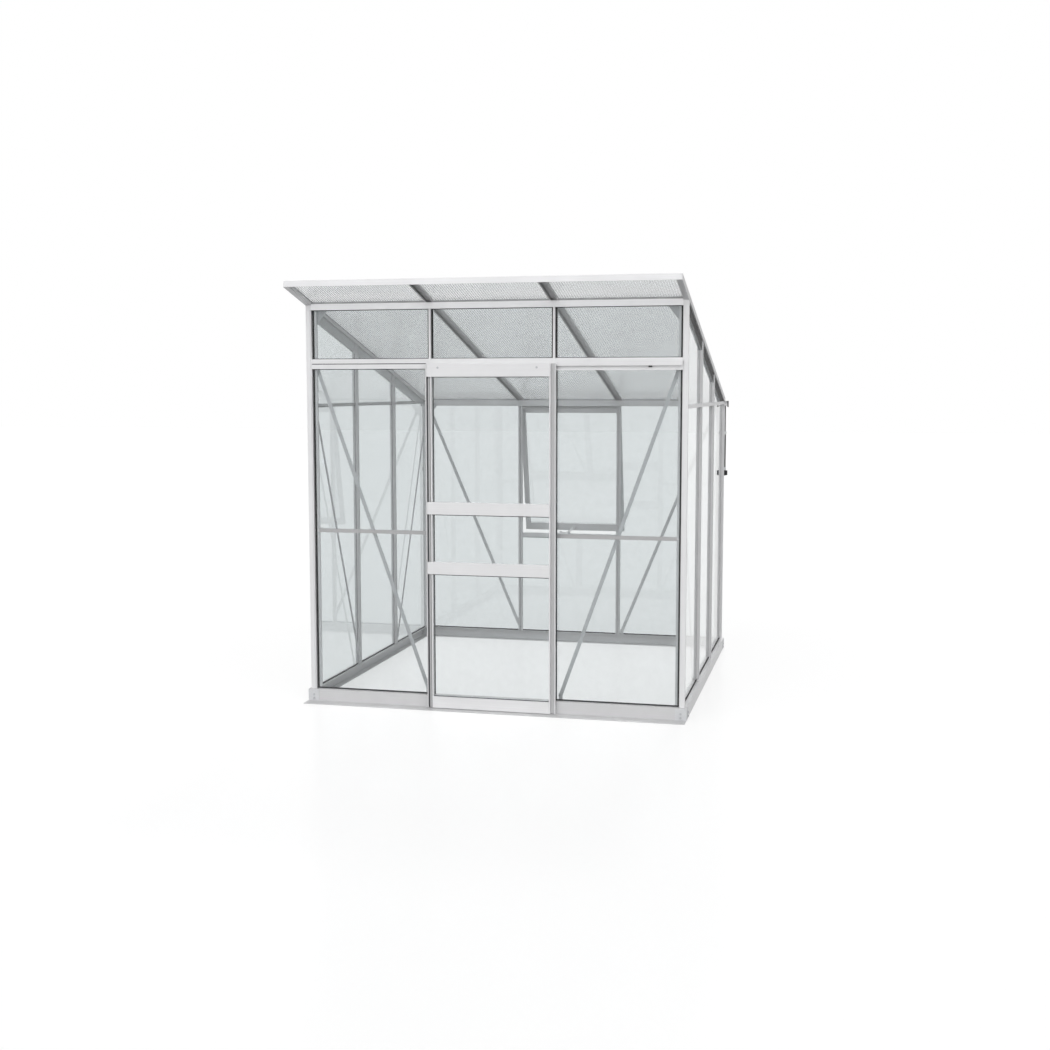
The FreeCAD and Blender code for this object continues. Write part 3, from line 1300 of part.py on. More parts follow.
top_rail = door_rail("door_top_section", top_low, door_high, True, False)
nodes.append(cut("door_top_rail", top_rail, [
    rod("axle_hole_" + name, "Y", (x, roller_height), S.axle_radius + S.rib_play,
        door_front - PAST, door_back + PAST) for name, x in axles]))
mid_upper_high = S.door_mid_upper + S.door_mid_height
mid_lower_high = S.door_mid_lower + S.door_mid_height
nodes.append(group("door_middle_rails", [
    door_rail("door_upper_middle", S.door_mid_upper, mid_upper_high, True, True),
    door_rail("door_lower_middle", S.door_mid_lower, mid_lower_high, True, True)]))
nodes.append(door_rail("door_bottom_rail", S.door_low, bottom_high, False, True))
tuck = S.door_groove - S.edge_play
pane_y = (glass_line - S.glass_thickness / 2, glass_line + S.glass_thickness / 2)
door_rows = ((bottom_high - S.door_groove, S.door_mid_lower + tuck),
             (mid_lower_high - S.door_groove, S.door_mid_upper + tuck),
             (mid_upper_high - S.door_groove, top_low + tuck))
nodes.append(group("door_panes", [
    block("door_pane_%d" % i, (inner_left - tuck, inner_right + tuck), pane_y, row)
    for i, row in enumerate(door_rows, 1)]))
brush_low = S.base_height + S.brush_inset
brush_high = track_low - S.brush_inset
brush_y = (door_back, door_back + S.brush_depth)
nodes.append(group("door_brush_seals", [
    block("brush_left", (door_left + S.brush_inset, door_left + S.brush_inset + S.brush_width),
          brush_y, (brush_low, brush_high)),
    block("brush_right", (door_right - S.brush_inset - S.brush_width, door_right - S.brush_inset),
          brush_y, (brush_low, brush_high))]))
guide_y = (door_back, -S.base_outset - S.face_play)
guide_low = S.door_low + S.guide_rise
guide_z = (guide_low, guide_low + S.guide_height)
nodes.append(group("door_bottom_guides", [
    block("guide_left", (inner_left, inner_left + S.guide_length), guide_y, guide_z),
    block("guide_right", (inner_right - S.guide_length, inner_right), guide_y, guide_z)]))

# Door hangers: axle through the top rail, with a collar, a retaining head and a nut
roller_front = -track_middle - S.roller_width / 2
roller_rear = S.roller_width / 2 - track_middle
hangers = []


def hexagon_along_y(label, spot, corner, start, end):
    """Six-sided bar between two places along Y; spot gives its X and Z."""
    prism = hexagon(label, corner, zero, end - start)
    prism.Placement = FreeCAD.Placement(Vector(0, 0, 0), Rotation(*TURNS["Y"]))
    for name, amount in zip("xyz", (spot[0], start, spot[1])):
        bind(prism, "Placement.Base." + name, amount)
    return prism


for name, x in axles:
    spot = (x, roller_height)
    label = "hanger_" + name
    head_start = roller_rear + S.face_play
    nut = hexagon_along_y(label + "_nut", spot, head_corner, door_front - S.nut_height, door_front)
    collar = hexagon_along_y(label + "_collar", spot, S.spacer_radius, door_back,
                             roller_front - S.face_play)
    keeper = hexagon_along_y(label + "_keeper", spot, S.keeper_radius, head_start,
                             head_start + S.axle_head)
    hangers.append(fuse(label, (
        rod(label + "_axle", "Y", spot, S.axle_radius, door_front - S.nut_height,
            head_start + S.axle_head), nut, collar, keeper)))
nodes.append(group("door_hangers", hangers))


def roller(label, x):
    """Grooved roller turned about its axle."""
    bore = S.axle_radius + S.roller_play
    tread, flange = S.roller_groove, S.roller_radius
    edge = (S.roller_width - S.rib_width - S.tread_play) / 2
    body = doc.addObject("PartDesign::Body", label)
    outline = [(bore, roller_front), (flange, roller_front), (tread, roller_front + edge),
               (tread, roller_rear - edge), (flange, roller_rear), (bore, roller_rear)]
    sketch = sketch_on(body, "XY_Plane", [outline], label + "_half")
    turned = body.newObject("PartDesign::Revolution", label + "_turned")
    turned.Profile = sketch
    turned.ReferenceAxis = (sketch, ["V_Axis"])
    turned.Angle = 360
    body.Tip = turned
    bind(body, "Placement.Base.x", x)
    bind(body, "Placement.Base.z", roller_height)
    return body


nodes.append(roller("door_roller_left", axle_left))
nodes.append(roller("door_roller_right", axle_right))

# Rear window, drawn shut about its hinge line and turned to its open rest
leaf_half = leaf_width / 2
leaf_in, leaf_out = -S.leaf_inside, S.leaf_depth - S.leaf_inside
leaf_line = (leaf_in + leaf_out) / 2
leaf_inner = leaf_half - S.leaf_stile
leaf_ends = (-leaf_inner, leaf_inner)
top_under = -S.leaf_top - S.leaf_stile
hook_bore = S.bead_radius + S.bead_play
hook_outer = hook_bore + S.hook_wall
hook_span = (S.face_play - leaf_inner, leaf_inner - S.face_play)
hook_tube = rod("hook_tube", "X", (0, 0), hook_outer, *hook_span)
bind(hook_tube, "Angle", S.hook_sweep)
hook_ring = cut("hook_ring", hook_tube, [rod("hook_bore", "X", (0, 0), hook_bore,
                                             hook_span[0] - PAST, hook_span[1] + PAST)])
hook = group("hinge_hook", [hook_ring], (zero, zero, S.hook_start))
web_half_width = S.hook_wall / 2
hook_web = block("hook_web", hook_span, (-web_half_width, web_half_width),
                 (-S.leaf_top, -hook_bore - web_half_width))
leaf_top_section = grooved_rail("leaf_top_section", leaf_in, leaf_out, leaf_line, top_under,
                                -S.leaf_top, leaf_ends, True, False)
nodes.append(group("window_top_rail", [
    fuse("leaf_top_whole", (leaf_top_section, hook_web, hook))], LEAF))
bottom_top = S.leaf_bottom - S.leaf_height
nodes.append(group("window_bottom_rail", [
    grooved_rail("leaf_bottom_section", leaf_in, leaf_out, leaf_line, -S.leaf_height,
                 bottom_top, leaf_ends, False, True)], LEAF))
leaf_stile_outline = [
    (leaf_inner, leaf_in), (leaf_half, leaf_in), (leaf_half, leaf_out), (leaf_inner, leaf_out),
    (leaf_inner, leaf_line + slot_half), (leaf_inner + S.door_groove, leaf_line + slot_half),
    (leaf_inner + S.door_groove, leaf_line - slot_half), (leaf_inner, leaf_line - slot_half)]
leaf_stile = extrusion("leaf_stile_section", "Z", [leaf_stile_outline], -S.leaf_height,
                       -S.leaf_top)
nodes.append(group("window_stiles", [leaf_stile, mirror_x("leaf_stile_left", leaf_stile)], LEAF))
nodes.append(group("window_pane", [
    block("leaf_pane", (-leaf_inner - tuck, leaf_inner + tuck),
          (leaf_line - S.glass_thickness / 2, leaf_line + S.glass_thickness / 2),
          (bottom_top - S.door_groove, top_under + tuck))], LEAF))

# Window stay: forked bracket and pin on the leaf, bowed slotted arm, peg on the sill rail
arm_half = S.stay_width / 2
lug_in, lug_out = arm_half + S.face_play, arm_half + S.face_play + S.section_wall
plate_in = leaf_in - S.section_wall
lug_low, lug_high = -stay_drop - S.pin_boss, S.pin_boss - stay_drop
nodes.append(group("window_stay_bracket", [fuse("stay_bracket_whole", (
    block("bracket_plate", (-lug_out, lug_out), (plate_in, leaf_in), (lug_low, lug_high)),
    block("bracket_lug_left", (-lug_out, -lug_in), (-S.stay_stand - S.pin_boss, plate_in),
          (lug_low, lug_high)),
    block("bracket_lug_right", (lug_in, lug_out), (-S.stay_stand - S.pin_boss, plate_in),
          (lug_low, lug_high)),
    rod("bracket_pin", "X", (-S.stay_stand, -stay_drop), S.pin_radius, -lug_out,
        lug_out)))], LEAF))
pivot_y = hinge_y - S.stay_stand * cosine(S.open_angle) + stay_drop * sine(S.open_angle)
pivot_z = (hinge_height - S.stay_stand * sine(S.open_angle)
           - stay_drop * cosine(S.open_angle))
peg_y = depth - S.peg_inset
reach_out = pivot_y - peg_y
reach_in = S.stay_length - reach_out


def arcsine(ratio):
    return Length(math.degrees(math.asin(ratio.value)), "(asin(%s) / 1 deg)" % ratio.text)


# The pin holds the arm's middle line, so the bow's lowest point follows from its radius.
middle_radius = S.stay_bow - S.stay_thickness / 2
bow_drop = middle_radius - hypotenuse_leg(middle_radius, reach_out)
arm_low = pivot_z - bow_drop - S.stay_thickness / 2
bow_centre = arm_low + S.stay_bow
start_angle = arcsine(reach_in / S.stay_bow)
end_angle = arcsine(reach_out / S.stay_bow)
bow_outer = rod("bow_outer", "X", (0, 0), S.stay_bow, -arm_half, arm_half)
bind(bow_outer, "Angle", start_angle + end_angle)
bow_ring = cut("bow_ring", bow_outer, [rod("bow_inner", "X", (0, 0),
                                           S.stay_bow - S.stay_thickness, -arm_half - PAST,
                                           arm_half + PAST)])
bow = group("stay_bow_arc", [bow_ring], (peg_y, bow_centre, -start_angle))
arm_eye = rod("stay_eye", "X", (pivot_y, pivot_z), S.pin_boss, -arm_half, arm_half)
tail_y = peg_y - reach_in
tail_z = bow_centre - hypotenuse_leg(middle_radius, reach_in)
grip = block("stay_grip", (-arm_half, arm_half),
             (tail_y - S.stay_thickness / 2, tail_y + S.stay_thickness / 2),
             (tail_z - S.stay_grip, tail_z))
arm_whole = fuse("stay_arm_whole", (bow, arm_eye, grip))
slot_x = S.stay_slot / 2
nodes.append(cut("window_stay_arm", arm_whole, [
    rod("stay_pin_hole", "X", (pivot_y, pivot_z), S.pin_radius + S.pin_play, -arm_half - PAST,
        arm_half + PAST),
    block("stay_slot_way", (-slot_x, slot_x), (tail_y + S.stay_margin, pivot_y - S.slot_margin),
          (arm_low - PAST, pivot_z + S.stay_margin))]))
sill_top = sill_low + S.sill_height
peg_seat = arm_low - S.face_play
riser = S.peg_riser / 2
nodes.append(fuse("stay_peg", (
    block("peg_foot", (-arm_half, arm_half), (peg_y - riser, depth - S.section_wall),
          (sill_top, sill_top + S.section_wall)),
    block("peg_riser", (-arm_half, arm_half), (peg_y - riser, peg_y + riser),
          (sill_top, peg_seat)),
    rod("peg_pin", "Z", (zero, peg_y), S.peg_diameter / 2, peg_seat,
        peg_seat + S.peg_height))))
nodes.append(group("frame_bolts", bolts))

# Check every object, then write one file for each named piece
doc.recompute()
for item in doc.Objects:
    faults = [state for state in item.State if state in ("Invalid", "Error")]
    if faults:
        raise RuntimeError("%s did not build: %s" % (item.Name, faults))
solid_count = 0
for node in nodes:
    shape = node.Shape
    if shape.isNull() or not shape.isValid() or not shape.Solids:
        raise RuntimeError("%s has no valid solid" % node.Label)
    solid_count += len(shape.Solids)
    shape.exportStep(os.path.join("parts", node.Label + ".step"))
print("%d nodes, %d solids" % (len(nodes), solid_count))
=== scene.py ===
import math

import bpy
import numpy as np
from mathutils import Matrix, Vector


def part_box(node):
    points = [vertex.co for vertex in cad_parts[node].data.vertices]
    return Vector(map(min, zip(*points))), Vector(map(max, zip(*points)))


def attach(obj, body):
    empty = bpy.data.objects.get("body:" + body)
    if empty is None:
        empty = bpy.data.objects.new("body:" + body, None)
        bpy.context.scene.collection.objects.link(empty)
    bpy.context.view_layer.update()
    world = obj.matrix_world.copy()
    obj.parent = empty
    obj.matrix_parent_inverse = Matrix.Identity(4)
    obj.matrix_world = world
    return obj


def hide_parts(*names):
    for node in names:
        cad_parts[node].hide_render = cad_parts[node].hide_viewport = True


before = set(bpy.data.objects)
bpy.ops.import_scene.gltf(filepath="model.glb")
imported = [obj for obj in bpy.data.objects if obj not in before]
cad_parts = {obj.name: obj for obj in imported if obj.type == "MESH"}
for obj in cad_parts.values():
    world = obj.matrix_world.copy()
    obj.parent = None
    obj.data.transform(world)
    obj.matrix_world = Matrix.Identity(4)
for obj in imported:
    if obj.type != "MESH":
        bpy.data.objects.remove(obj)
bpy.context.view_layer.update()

bl_info = {
    "name": "Pent Roof Greenhouse Finishes",
    "version": (1, 0, 0),
    "blender": (4, 5, 0),
    "location": "3D View > Sidebar > Greenhouse",
    "description": "Dresses the frame, glazing, roof, door, window and gutter of a pent roof "
                   "greenhouse",
    "category": "Object",
}

UPRIGHTS = ("front_corner_posts", "back_corner_posts", "window_stiles")
ACROSS = ("back_base_rail", "front_transoms", "window_sill_rail", "back_eave_beam",
          "roof_front_fascia", "roof_back_closer", "eave_gutter", "door_track", "door_top_rail",
          "door_middle_rails", "door_bottom_rail", "window_top_rail", "window_bottom_rail")
ALONG = ("side_base_rails", "side_eave_rails", "verge_bars", "roof_bars", "roof_bar_caps",
         "window_stay_arm")
PRESSED = ("base_corner_plates", "eave_gusset_plates", "brace_cleats", "front_braces",
           "back_braces", "side_braces", "window_stay_bracket")
PANES = ("front_panes", "back_panes", "left_panes", "right_panes", "door_panes", "window_pane")
MOULDED = ("gutter_end_caps", "downpipe_necks_and_spouts", "door_bottom_guides", "track_stops",
           "door_roller_left", "door_roller_right", "downpipes")
PLATED = ("frame_bolts", "door_hangers", "stay_peg")

# Share of the bars' colour on pieces that are darker or lighter than the rest: the front base
# rail darker as painted shade, the front eave beam lighter as painted light against the
# overhang's shade, and the glazing joint strips darker.
TONES_AND_PAINTED_LIGHT = (("front_base_rail", 0.8), ("glazing_joint_strips", 0.55), ("front_eave_beam", 1.2))
# Share of the bars' colour in a darker finish, painted shade on the door stiles' recessed floors
# and on the roof bars.
PAINTED_SHADE_TONE = 0.7

# Share of a lamp's light that goes straight through one face of a pane and of a roof sheet.
PANE_SHARE, SHEET_SHARE = 0.94, 0.75

# Roof frame: s runs down the slope from the front wall's plane, w stands square to the slope,
# both from the underside of the verge bars.
ROOF_PITCH = math.radians(14.68)
VERGE_HEIGHT = 2.0015
SHEET_S = (-0.282, 1.99504)
SHEET_W = (0.018, 0.024)
SHEET_X = ((-0.941, -0.315), (-0.307, 0.307), (0.315, 0.941))
SHEET_RELIEF = 0.0002
ROOF_LINES = (-0.311, 0.311)
ROOF_BAR_ENDS = (-0.2565, 1.975)

# Wall frame: u runs along a wall, v inwards from its plane. Each bar has its place along the
# wall and its top, each bay and side its ends between the bars.
HALF_WIDTH, DEPTH = 0.956, 1.912
SILL = 0.062
BARS = {
    "front": ((-0.311, 1.977), (0.311, 1.977)),
    "back": ((-0.311, 1.480), (0.311, 1.480)),
    "left": ((1.267, 1.8286), (0.645, 1.6656)),
    "right": ((0.645, 1.8286), (1.267, 1.6656)),
}
BAYS = ((-0.927, -0.317), (-0.305, 0.305), (0.317, 0.927))
SIDES = ((0.029, 0.639), (0.651, 1.261), (1.273, 1.883))
WALL_THICK = 0.002
CORNER_POINTS = 4

# Rubber round the front panes: how far in the lips and the beads lie, the edges of the upper
# panes, the upper edge of the lower ones, and a black strip on the left transom, painted shade
# of its groove.
LIP_DEPTHS, BEAD_DEPTH = (0.0138, 0.0192), 0.0137
UPPER_PANE_EDGES, LOWER_PANE_EDGE = (1.7366, 1.9752), 1.6844
PAINTED_GROOVE_DEPTH, PAINTED_GROOVE_HEIGHT = 0.0031, 1.7105

# Door, all in the front wall's frame: its faces, height, the stiles' inner and outer edges, and
# the lower and upper edge of each rail from the bottom up.
DOOR_FRONT, DOOR_BACK = -0.040, -0.018
DOOR_LOW, DOOR_TOP = 0.0055, 1.709
DOOR_INNER, DOOR_OUTER = (-0.291, 0.297), (-0.322, 0.328)
DOOR_RAILS = ((0.0055, 0.0635), (0.6765, 0.7375), (0.973, 1.034), (1.646, 1.709))
THICK_LIP, THIN_LIP = 0.0065, 0.004
STILE_FLOOR, FLOOR_THICK = -0.0225, 0.009
# Two black strips in the left stile's recess are painted shade; the rail beads keep a gap.
STILE_SHADE_BEADS, BEAD_GAP = (-0.3155, -0.3), 0.0016
COVER_THICK, COVER_ENDS = 0.003, (-0.316, 0.2995)
CLOSING_WIDTH, CLOSING_LINE, CLOSING_TOP = 0.017, -0.3245, 1.6763

# Floor: half its width, its near and far edge, how far it lies below the sill, its grey where it
# is seen and where it only lights, and its glow with the share that the glow has.
FLOOR_REACH, FLOOR_NEAR, FLOOR_FAR, FLOOR_DROP = 60.0, -11.7, 42.6, 0.0005
FLOOR_SEEN, FLOOR_LIT = (0.9, 0.9, 0.9, 1), (0.15, 0.15, 0.15, 1)
FLOOR_GLOW, GLOW_SHARE = 1.08, 0.65

# Direction that the stronger fill comes from.
FRONT_FILL_FROM = (0.12, -0.95, 0.29)


# Settings


class AluminiumSettings(bpy.types.PropertyGroup):
    """Colour and surface of the extruded and pressed aluminium."""

    extrusion_colour: bpy.props.FloatVectorProperty(
        name="Extrusion colour", description="Satin mill finish of the bars and rails",
        subtype="COLOR", size=4, min=0, max=1, default=(0.74, 0.74, 0.75, 1))
    sheet_colour: bpy.props.FloatVectorProperty(
        name="Sheet colour", description="Pressed plates, straps and cleats",
        subtype="COLOR", size=4, min=0, max=1, default=(0.62, 0.63, 0.645, 1))
    metallic: bpy.props.FloatProperty(
        name="Metallic share", description="How much of the surface mirrors what is around it",
        subtype="FACTOR", min=0, max=1, default=0.25)
    roughness: bpy.props.FloatProperty(
        name="Roughness", description="Middle roughness of the drawn surface",
        subtype="FACTOR", min=0, max=1, default=0.42)
    die_line_width: bpy.props.FloatProperty(
        name="Die line width", description="Spacing of the faint lines left along an extrusion",
        unit="LENGTH", subtype="DISTANCE", min=0.0005, max=0.02, default=0.0024)


class GlazingSettings(bpy.types.PropertyGroup):
    """Colour of the wall panes and of the ribbed roof sheets."""

    pane_colour: bpy.props.FloatVectorProperty(
        name="Pane colour", description="What one pane lets through of white light",
        subtype="COLOR", size=4, min=0, max=1, default=(0.81, 0.835, 0.84, 1))
    roof_colour: bpy.props.FloatVectorProperty(
        name="Roof sheet colour", description="Body colour of the ribbed roof sheet",
        subtype="COLOR", size=4, min=0, max=1, default=(0.93, 0.945, 0.95, 1))
    rib_spacing: bpy.props.FloatProperty(
        name="Rib spacing", description="Distance between the inner ribs of the roof sheet",
        unit="LENGTH", subtype="DISTANCE", min=0.002, max=0.05, default=0.0124)


class TrimSettings(bpy.types.PropertyGroup):
    """Colours of the seals, the moulded parts and the plated fasteners."""

    rubber_colour: bpy.props.FloatVectorProperty(
        name="Rubber colour", description="Glazing strips and roof seals",
        subtype="COLOR", size=4, min=0, max=1, default=(0.012, 0.012, 0.013, 1))
    # The verge seals' pale inner side is this colour lightened 2.4 times, as painted light.
    foam_colour: bpy.props.FloatVectorProperty(
        name="Foam colour", description="Foam under the roof sheets and behind the verge seals",
        subtype="COLOR", size=4, min=0, max=1, default=(0.34, 0.345, 0.35, 1))
    pile_colour: bpy.props.FloatVectorProperty(
        name="Pile colour", description="Brush strips at the door's edges",
        subtype="COLOR", size=4, min=0, max=1, default=(0.09, 0.09, 0.095, 1))
    moulding_colour: bpy.props.FloatVectorProperty(
        name="Moulding colour", description="Gutter ends, downpipe joints and rollers",
        subtype="COLOR", size=4, min=0, max=1, default=(0.012, 0.012, 0.013, 1))
    collar_colour: bpy.props.FloatVectorProperty(
        name="Collar colour", description="The collars at the joints of the downpipes",
        subtype="COLOR", size=4, min=0, max=1, default=(0.62, 0.63, 0.64, 1))
    plating_colour: bpy.props.FloatVectorProperty(
        name="Plating colour", description="Bolts, hangers and the stay's peg",
        subtype="COLOR", size=4, min=0, max=1, default=(0.52, 0.53, 0.55, 1))


class StageSettings(bpy.types.PropertyGroup):
    """Camera and lights."""

    camera_place: bpy.props.FloatVectorProperty(
        name="Camera place", description="Where the camera stands",
        subtype="TRANSLATION", unit="LENGTH", size=3,
        default=(1.713946, -6.470716, 1.592321))
    camera_yaw: bpy.props.FloatProperty(
        name="Camera yaw", description="Turn about the upright, positive to the left",
        subtype="ANGLE", unit="ROTATION", default=0.234415)
    camera_pitch: bpy.props.FloatProperty(
        name="Camera pitch", description="Tilt above the horizon",
        subtype="ANGLE", unit="ROTATION", default=-0.099603)
    camera_roll: bpy.props.FloatProperty(
        name="Camera roll", description="Turn about the line of sight",
        subtype="ANGLE", unit="ROTATION", default=0.000366)
    focal_length: bpy.props.FloatProperty(
        name="Focal length", description="Lens on a sensor 36 mm wide, in millimetres",
        min=1, max=500, default=47.0451)
    fill_level: bpy.props.FloatProperty(
        name="Fill level", description="Strength of the even light from all round",
        min=0, max=5, default=0.24)
    front_level: bpy.props.FloatProperty(
        name="Front level", description="Extra strength of the light from in front",
        min=0, max=5, default=1.85)
    key_level: bpy.props.FloatProperty(
        name="Key level", description="Strength of the one directed light, in watts a square metre",
        min=0, max=20, default=0.7)
    key_angle: bpy.props.FloatProperty(
        name="Key angle", description="Apparent width of the directed light, which softens shadows",
        subtype="ANGLE", unit="ROTATION", min=0, max=1.5, default=0.14)
    key_direction: bpy.props.FloatVectorProperty(
        name="Key direction", description="From the ground towards the directed light",
        subtype="DIRECTION", size=3, default=(0.428, -0.535, 0.728))


SETTING_GROUPS = (("aluminium", AluminiumSettings), ("glazing", GlazingSettings),
                  ("trim", TrimSettings), ("stage", StageSettings))


def settings(name):
    return getattr(bpy.context.scene, "greenhouse_" + name)


# Node trees


def join(tree, source, target):
    """Link an output to an input, or set the input when the source is a plain value."""
    if isinstance(source, bpy.types.NodeSocket):
        tree.links.new(source, target)
    else:
        target.default_value = source


def add_node(tree, kind, inputs=None, **options):
    node = tree.nodes.new(kind)
    for key, value in options.items():
        setattr(node, key, value)
    for key, value in (inputs or {}).items():
        join(tree, value, node.inputs[key])
    return node


def start_group(name, inputs, outputs):
    """An empty node group with named float or vector inputs and float outputs."""
    group = bpy.data.node_groups.new(name, "ShaderNodeTree")
    for label, kind, value in inputs:
        socket = group.interface.new_socket(label, in_out="INPUT", socket_type=kind)
        if value is not None:
            socket.default_value = value
    for label, kind in outputs:
        group.interface.new_socket(label, in_out="OUTPUT", socket_type=kind)
    return group, group.nodes.new("NodeGroupInput"), group.nodes.new("NodeGroupOutput")


def drawn_metal_group():
    """Die lines along an extrusion and soft cloudy patches: noise stretched along the bar."""
    name = "drawn_metal"
    if name in bpy.data.node_groups:
        return bpy.data.node_groups[name]
    group, given, result = start_group(
        name,
        (("Point", "NodeSocketVector", None), ("Line Scale", "NodeSocketVector", (400, 400, 2)),
         ("Cloud Scale", "NodeSocketFloat", 9.0)),
        (("Lines", "NodeSocketFloat"), ("Clouds", "NodeSocketFloat")))
    mapped = add_node(group, "ShaderNodeMapping",
                      {"Vector": given.outputs["Point"], "Scale": given.outputs["Line Scale"]})
    lines = add_node(group, "ShaderNodeTexNoise",
                     {"Vector": mapped.outputs["Vector"], "Scale": 1.0, "Detail": 3.0})
    clouds = add_node(group, "ShaderNodeTexNoise",
                      {"Vector": given.outputs["Point"], "Scale": given.outputs["Cloud Scale"],
                       "Detail": 4.0})
    join(group, lines.outputs["Fac"], result.inputs["Lines"])
    join(group, clouds.outputs["Fac"], result.inputs["Clouds"])
    return group


def moulded_grain_group():
    """Fine pebbled grain with broad uneven patches, as on moulded plastic and rubber."""
    name = "moulded_grain"
    if name in bpy.data.node_groups:
        return bpy.data.node_groups[name]
    group, given, result = start_group(
        name,
        (("Point", "NodeSocketVector", None), ("Grain Scale", "NodeSocketFloat", 700.0),
         ("Patch Scale", "NodeSocketFloat", 14.0)),
        (("Grain", "NodeSocketFloat"), ("Patches", "NodeSocketFloat")))
    grain = add_node(group, "ShaderNodeTexVoronoi",
                     {"Vector": given.outputs["Point"], "Scale": given.outputs["Grain Scale"]})
    patches = add_node(group, "ShaderNodeTexNoise",
                       {"Vector": given.outputs["Point"], "Scale": given.outputs["Patch Scale"],
                        "Detail": 5.0})
    join(group, grain.outputs["Distance"], result.inputs["Grain"])
    join(group, patches.outputs["Fac"], result.inputs["Patches"])
    return group


def new_material(name):
    material = bpy.data.materials.new(name)
    material.use_nodes = True
    tree = material.node_tree
    tree.nodes.clear()
    shader = tree.nodes.new("ShaderNodeBsdfPrincipled")
    output = tree.nodes.new("ShaderNodeOutputMaterial")
    tree.links.new(shader.outputs["BSDF"], output.inputs["Surface"])
    place = tree.nodes.new("ShaderNodeTexCoord")
    return material, tree, shader, place.outputs["Object"]


def shade(colour, share):
    """The colour times a share, with its alpha kept."""
    return tuple(channel * share for channel in colour[:3]) + (1.0,)


def spread(tree, mask, low, high):
    """A mask brought to the range from low to high."""
    return add_node(tree, "ShaderNodeMapRange",
                    {"Value": mask, "From Min": 0.3, "From Max": 0.7, "To Min": low,
                     "To Max": high}).outputs["Result"]


def tint(tree, mask, dark, light):
    """A colour between dark and light, led by a mask."""
    mix = add_node(tree, "ShaderNodeMix", {"Factor": mask}, data_type="RGBA")
    sockets = [socket for socket in mix.inputs if socket.type == "RGBA"]
    sockets[0].default_value = dark
    sockets[1].default_value = light
    return [socket for socket in mix.outputs if socket.type == "RGBA"][0]


def aluminium(name, colour, line_scale, metallic, roughness, cloud_scale=9.0):
    """Satin aluminium: die lines in colour, roughness and relief, with cloudy tarnish."""
    material, tree, shader, point = new_material(name)
    drawn = tree.nodes.new("ShaderNodeGroup")
    drawn.node_tree = drawn_metal_group()
    join(tree, point, drawn.inputs["Point"])
    drawn.inputs["Line Scale"].default_value = line_scale
    drawn.inputs["Cloud Scale"].default_value = cloud_scale
    both = add_node(tree, "ShaderNodeMath",
                    {0: drawn.outputs["Lines"], 1: drawn.outputs["Clouds"]}, operation="ADD")
    half = add_node(tree, "ShaderNodeMath", {0: both.outputs[0], 1: 0.5}, operation="MULTIPLY")
    mask = spread(tree, half.outputs[0], 0.0, 1.0)
    join(tree, tint(tree, mask, shade(colour, 0.93), shade(colour, 1.04)),
         shader.inputs["Base Color"])
    join(tree, spread(tree, drawn.outputs["Clouds"], roughness - 0.05, roughness + 0.07),
         shader.inputs["Roughness"])
    shader.inputs["Metallic"].default_value = metallic
    bump = add_node(tree, "ShaderNodeBump", {"Height": drawn.outputs["Lines"], "Strength": 0.06,
                                             "Distance": 0.0004})
    join(tree, bump.outputs["Normal"], shader.inputs["Normal"])
    return material


def glazing(name, colour):
    """Clear float glass: a pale body colour, faint roller waves and a film of dust."""
    material, tree, shader, point = new_material(name)
    waves = add_node(tree, "ShaderNodeTexNoise", {"Vector": point, "Scale": 1.6, "Detail": 2.0})
    dust = add_node(tree, "ShaderNodeTexNoise", {"Vector": point, "Scale": 30.0, "Detail": 8.0})
    mask = spread(tree, dust.outputs["Fac"], 0.0, 1.0)
    join(tree, tint(tree, mask, shade(colour, 0.985), shade(colour, 1.01)),
         shader.inputs["Base Color"])
    join(tree, spread(tree, dust.outputs["Fac"], 0.0, 0.02), shader.inputs["Roughness"])
    shader.inputs["Transmission Weight"].default_value = 1.0
    shader.inputs["IOR"].default_value = 1.5
    open_to_lamps(tree, shader, PANE_SHARE)
    bump = add_node(tree, "ShaderNodeBump", {"Height": waves.outputs["Fac"], "Strength": 0.05,
                                             "Distance": 0.002})
    join(tree, bump.outputs["Normal"], shader.inputs["Normal"])
    return material


def ribbed_sheet(name, colour, spacing):
    """Twin wall sheet: upright ribs shown as darker lines across the width, light between."""
    material, tree, shader, point = new_material(name)
    ribs = add_node(tree, "ShaderNodeTexWave", {"Vector": point, "Scale": math.pi / 10 / spacing,
                                                "Distortion": 0.0, "Detail": 0.0},
                    wave_type="BANDS", bands_direction="X", wave_profile="SIN")
    clouds = add_node(tree, "ShaderNodeTexNoise", {"Vector": point, "Scale": 6.0, "Detail": 4.0})
    join(tree, tint(tree, ribs.outputs["Fac"], shade(colour, 1.05), shade(colour, 0.86)),
         shader.inputs["Base Color"])
    join(tree, spread(tree, clouds.outputs["Fac"], 0.20, 0.24), shader.inputs["Roughness"])
    shader.inputs["Transmission Weight"].default_value = 0.9
    shader.inputs["IOR"].default_value = 1.3
    open_to_lamps(tree, shader, SHEET_SHARE)
    bump = add_node(tree, "ShaderNodeBump", {"Height": ribs.outputs["Fac"], "Strength": 0.25,
                                             "Distance": 0.0006})
    join(tree, bump.outputs["Normal"], shader.inputs["Normal"])
    return material


